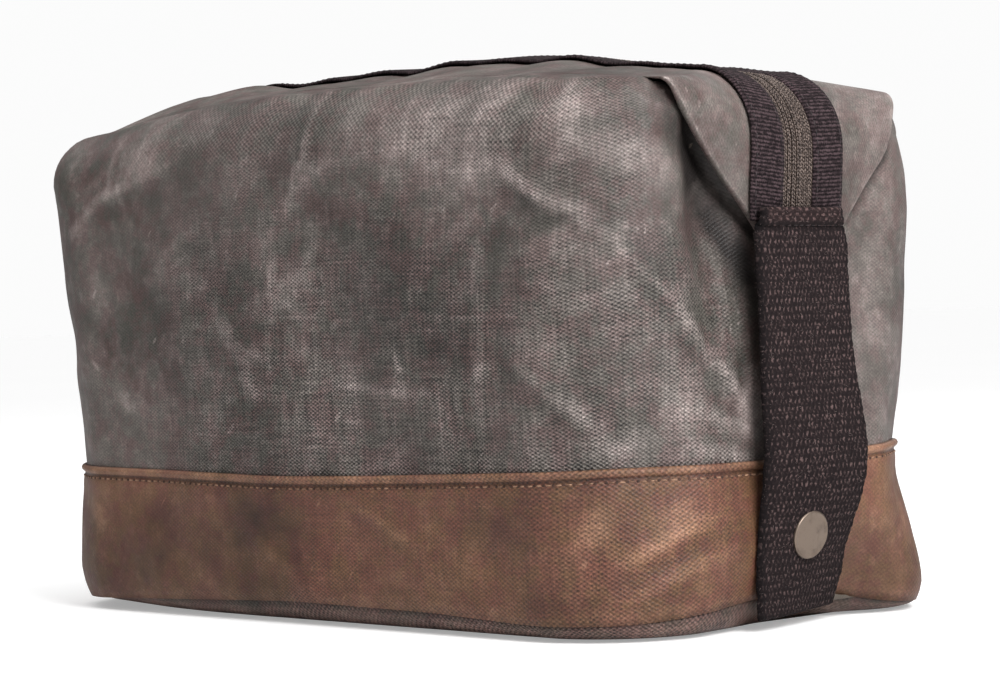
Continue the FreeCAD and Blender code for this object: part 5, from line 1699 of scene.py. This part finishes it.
@dataclass
class Slider:
    """The zip's slider and its pull, where their solids are."""

    shop: Shop
    plate_depth: float = 1.0
    lower_rise: float = 1.5
    lower_depth: float = 0.9
    eye_place: float = 3.1
    eye_size: tuple[float, float] = (1.9, 1.7)

    def _rings(self, name: str, rings: Sequence[Array], body: str, *nodes: str, joined: bool = False) -> None:
        """A metal piece from rings of points."""
        piece = face_out(make_object(name, np.vstack(rings), ring_faces(len(rings), len(rings[0]), joined)))
        self.shop.join(piece, SLIDER_METAL, body, *nodes)

    def _plate(self, name: str, outline: Array, low: float, high: float, edge: float, *nodes: str) -> None:
        """A flat piece of the slider, with rounded edges."""
        away = unit(outline - outline.mean(0))
        self._rings(name, [np.insert(outline - away * inset * edge, 2, z, axis=1) for inset, z in (
            (1.4, low), (0.4, low + 0.3 * edge), (0, low + edge), (0, high - edge), (0.4, high - 0.3 * edge),
            (1.4, high))], "slider", *nodes)

    def build(self) -> None:
        """Makes the plates, the neck between them, the bridge and the pull."""
        (back, _, bottom), (front, half, top) = solid("slider_body")
        upper = top - self.plate_depth
        lower = bottom + self.lower_rise
        turn = np.linspace(0, 1, 12) * np.pi
        nose = np.stack([front - 2.6 * (1 - np.sin(turn)), -half * np.cos(turn)], -1)
        tail = np.stack([back + 1.4 * (1 - np.sin(turn)), half * 0.72 * np.cos(turn)], -1)
        shield = np.vstack([nose, tail])
        self._plate("slider_top_plate", shield, upper, top, 0.25, "slider_body")
        self._plate("slider_low_plate", shield, lower, lower + self.lower_depth, 0.25)
        t = np.linspace(0, 2 * np.pi, 20, endpoint=False)
        neck = np.stack([front - 3.0 + 1.7 * np.cos(t), 0.9 * np.sin(t)], -1)
        self._plate("slider_neck", neck, lower + self.lower_depth - 0.2, upper + 0.2, 0.1)
        there_and_back, t = (0, 0.5, 0.5, 1), np.linspace(0, 1, 24)
        along = np.interp(t, there_and_back, (back + 1.5, front - 4, front - 4, back + 1.5))
        across = np.interp(t, there_and_back, (2.9, 4.2, 3.4, 2.2))
        for face in Face:
            lip = np.stack([along, face.value * across], -1)
            self._plate(f"slider_lip_{face.label}", lip, upper - 0.9, upper + 0.1, 0.1)
        self._bridge()
        self._pull()

    def _bridge(self) -> None:
        """The rounded bar that the pull hangs on."""
        low, high = solid("slider_bridge")
        u = np.linspace(0, np.pi, 24)
        path = np.stack([(low[0] + high[0]) / 2 + ((high[0] - low[0]) / 2 - 0.4) * np.cos(u), 0 * u,
                         low[2] - 0.3 + (high[2] - low[2] - 0.1) * np.sin(u) ** 0.8], -1)
        side = np.array([0, 1.0, 0])
        up = unit(np.cross(unit(np.gradient(path, axis=0)), side))
        wide, deep = squared(np.arange(16) * 2 * np.pi / 16, 0.6)
        rings = path[:, None] + 0.9 * wide[:, None] * side + 0.4 * deep[:, None] * up[:, None]
        self._rings("slider_bridge_loop", list(rings), "slider", "slider_bridge")

    def _pull(self) -> None:
        """The pull: an eye round the bridge, and a tapered tab."""
        (x0, _, z), (x1, half_width, _) = solid("pull_tab")
        t = np.linspace(0, 2 * np.pi, 64, endpoint=False)
        mid, half, (eye_x, eye_y) = (x0 + x1) / 2, (x1 - x0) / 2, self.eye_size
        c, w = squared(t, 0.5)
        u, v = squared(t, 0.6)
        w = w * (half_width - 0.35 * (1 - c))
        rings = [(mid + c * (half - inset), w * (1 - inset / half_width), up) for inset, up in
                 ((0.35, 0.0), (0.1, 0.12), (0.0, 0.35), (0.0, 0.85), (0.1, 1.08), (0.35, 1.2))]
        rings += [(x0 + self.eye_place + u * (eye_x + inset), v * (eye_y + inset), up) for inset, up in
                  ((0.25, 1.2), (0.0, 0.95), (0.0, 0.25), (0.25, 0.0))]
        self._rings("zip_pull", [np.stack([x, y, np.full(len(t), z + up)], -1) for x, y, up in rings],
                    "pull", "pull_tab", joined=True)


# --- the studio ----------------------------------------------------------------------------------------------


@dataclass(frozen=True)
class Lamp:
    """A soft rectangular light.

    Attributes:
        name: The lamp's name.
        place: Where it is, in metres.
        aim: What it points at, in metres.
        size: Width and height, in metres.
        power: In watts.
    """

    name: str
    place: tuple[float, float, float]
    aim: tuple[float, float, float]
    size: tuple[float, float]
    power: float

    def build(self) -> None:
        """Makes the light."""
        data = bpy.data.lights.new(self.name, "AREA")
        data.shape, data.size, data.size_y, data.energy = "RECTANGLE", *self.size, self.power
        thing = link(self.name, data)
        thing.location = self.place
        thing.rotation_euler = (Vector(self.aim) - Vector(self.place)).to_track_quat("-Z", "Y").to_euler()


@dataclass
class Studio:
    """The floor, the lights and the camera."""

    azimuth: float = math.radians(45.75)
    elevation: float = math.radians(0.44)
    roll: float = math.radians(-1.76)
    distance: float = 0.93169
    lens: float = 109.30
    look: tuple[float, float, float] = (0.01357, 0.0, 0.08248)
    room_light: float = 0.22
    backdrop: float = 0.97
    floor_lift: float = 0.34
    floor_reach: float = 30.0
    sky_power: float = 1.9
    sky_place: tuple[float, float, float] = (0.22, 0.10, 1.0)
    lamps: tuple[Lamp, ...] = (
        Lamp("key", (0.78, -0.22, 0.50), (0.08, 0, 0.08), (0.42, 0.42), 9.0),
        Lamp("fill", (-0.7, -1.6, 0.9), (0, 0, 0.08), (1.6, 1.2), 2.0),
        Lamp("sheen", (-0.75, -0.30, 0.95), (0, 0, 0.1), (0.9, 0.7), 2.5),
        Lamp("behind", (-0.3, 1.5, 0.9), (0, 0, 0.1), (1.4, 0.9), 4.0),
    )

    def floor(self) -> None:
        """A wide pale floor, a little brighter where the camera sees it."""
        material = bpy.data.materials.new("studio_floor")
        material.use_nodes = True
        graph = Graph(material.node_tree)
        shader = graph.node("BsdfPrincipled")
        graph.node("OutputMaterial", inputs={"Surface": shader.outputs[0]})
        tone = graph.span(graph.noise(graph.place(), 2.0), 0.2, 0.8, 0.79, 0.81)
        graph.feed(shader.inputs["Base Color"], graph.grey(tone))
        shader.inputs["Roughness"].default_value = 0.9
        shader.inputs["Emission Color"].default_value = (1, 1, 1, 1)
        seen = graph.node("LightPath").outputs["Is Camera Ray"]
        graph.feed(shader.inputs["Emission Strength"], graph.mul(seen, self.floor_lift))
        mesh = bpy.data.meshes.new("studio_floor")
        corners = [(x * self.floor_reach, y * self.floor_reach, 0) for x, y in ((-1, -1), (1, -1), (1, 1), (-1, 1))]
        mesh.from_pydata(corners, [], [(0, 1, 2, 3)])
        mesh.materials.append(material)
        link("studio_floor", mesh)

    def world(self) -> None:
        """Even pale light from all round, in front of a white backdrop, and soft light from above."""
        world = bpy.data.worlds.new("studio")
        world.use_nodes = True
        graph = Graph(world.node_tree)
        seen = graph.node("LightPath").outputs["Is Camera Ray"]
        level = graph.add(graph.mul(seen, self.backdrop - self.room_light), self.room_light)
        shade = graph.node("Background", inputs={"Color": (1, 1, 1, 1), "Strength": level})
        graph.node("OutputWorld", inputs={"Surface": shade.outputs[0]})
        bpy.context.scene.world = world
        data = bpy.data.lights.new("above", "SUN")
        data.energy, data.angle = self.sky_power, math.radians(70)
        link("above", data).rotation_euler = Vector(self.sky_place).to_track_quat("Z", "Y").to_euler()
        bpy.context.scene.view_settings.view_transform = "Standard"

    def camera(self) -> None:
        """The camera, low and close to a corner."""
        ca, sa = math.cos(self.azimuth), math.sin(self.azimuth)
        ce, se = math.cos(self.elevation), math.sin(self.elevation)
        cr, sr = math.cos(self.roll), math.sin(self.roll)
        back, right = Vector((sa * ce, -ca * ce, se)), Vector((ca, sa, 0.0))
        up = back.cross(right)
        data = bpy.data.cameras.new("camera")
        data.lens, data.sensor_width, data.sensor_fit = self.lens, 36.0, "HORIZONTAL"
        data.clip_start, data.clip_end = 0.01, 100.0
        thing = link("camera", data)
        frame = Matrix((right * cr + up * sr, up * cr - right * sr, back)).transposed().to_4x4()
        frame.translation = Vector(self.look) + back * self.distance
        thing.matrix_world = frame
        bpy.context.scene.camera = thing

    def build(self) -> None:
        """Makes everything round the bag."""
        self.floor()
        self.world()
        self.camera()
        for lamp in self.lamps:
            lamp.build()


def main() -> None:
    """Builds the bag piece by piece."""
    logging.basicConfig(level=logging.INFO, format="%(name)s: %(message)s")
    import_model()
    shop = Shop()
    body = Body(shop)
    body.walls()
    body.lining()
    body.base()
    body.band()
    body.band_stitches()
    for face in Face:
        for side in Side:
            Lid(shop, face).build(side)
    for side in Side:
        Ear(shop, side).build()
        Strap(shop, side).build()
    Slider(shop).build()
    Studio().build()


if __name__ == "__main__":
    main()
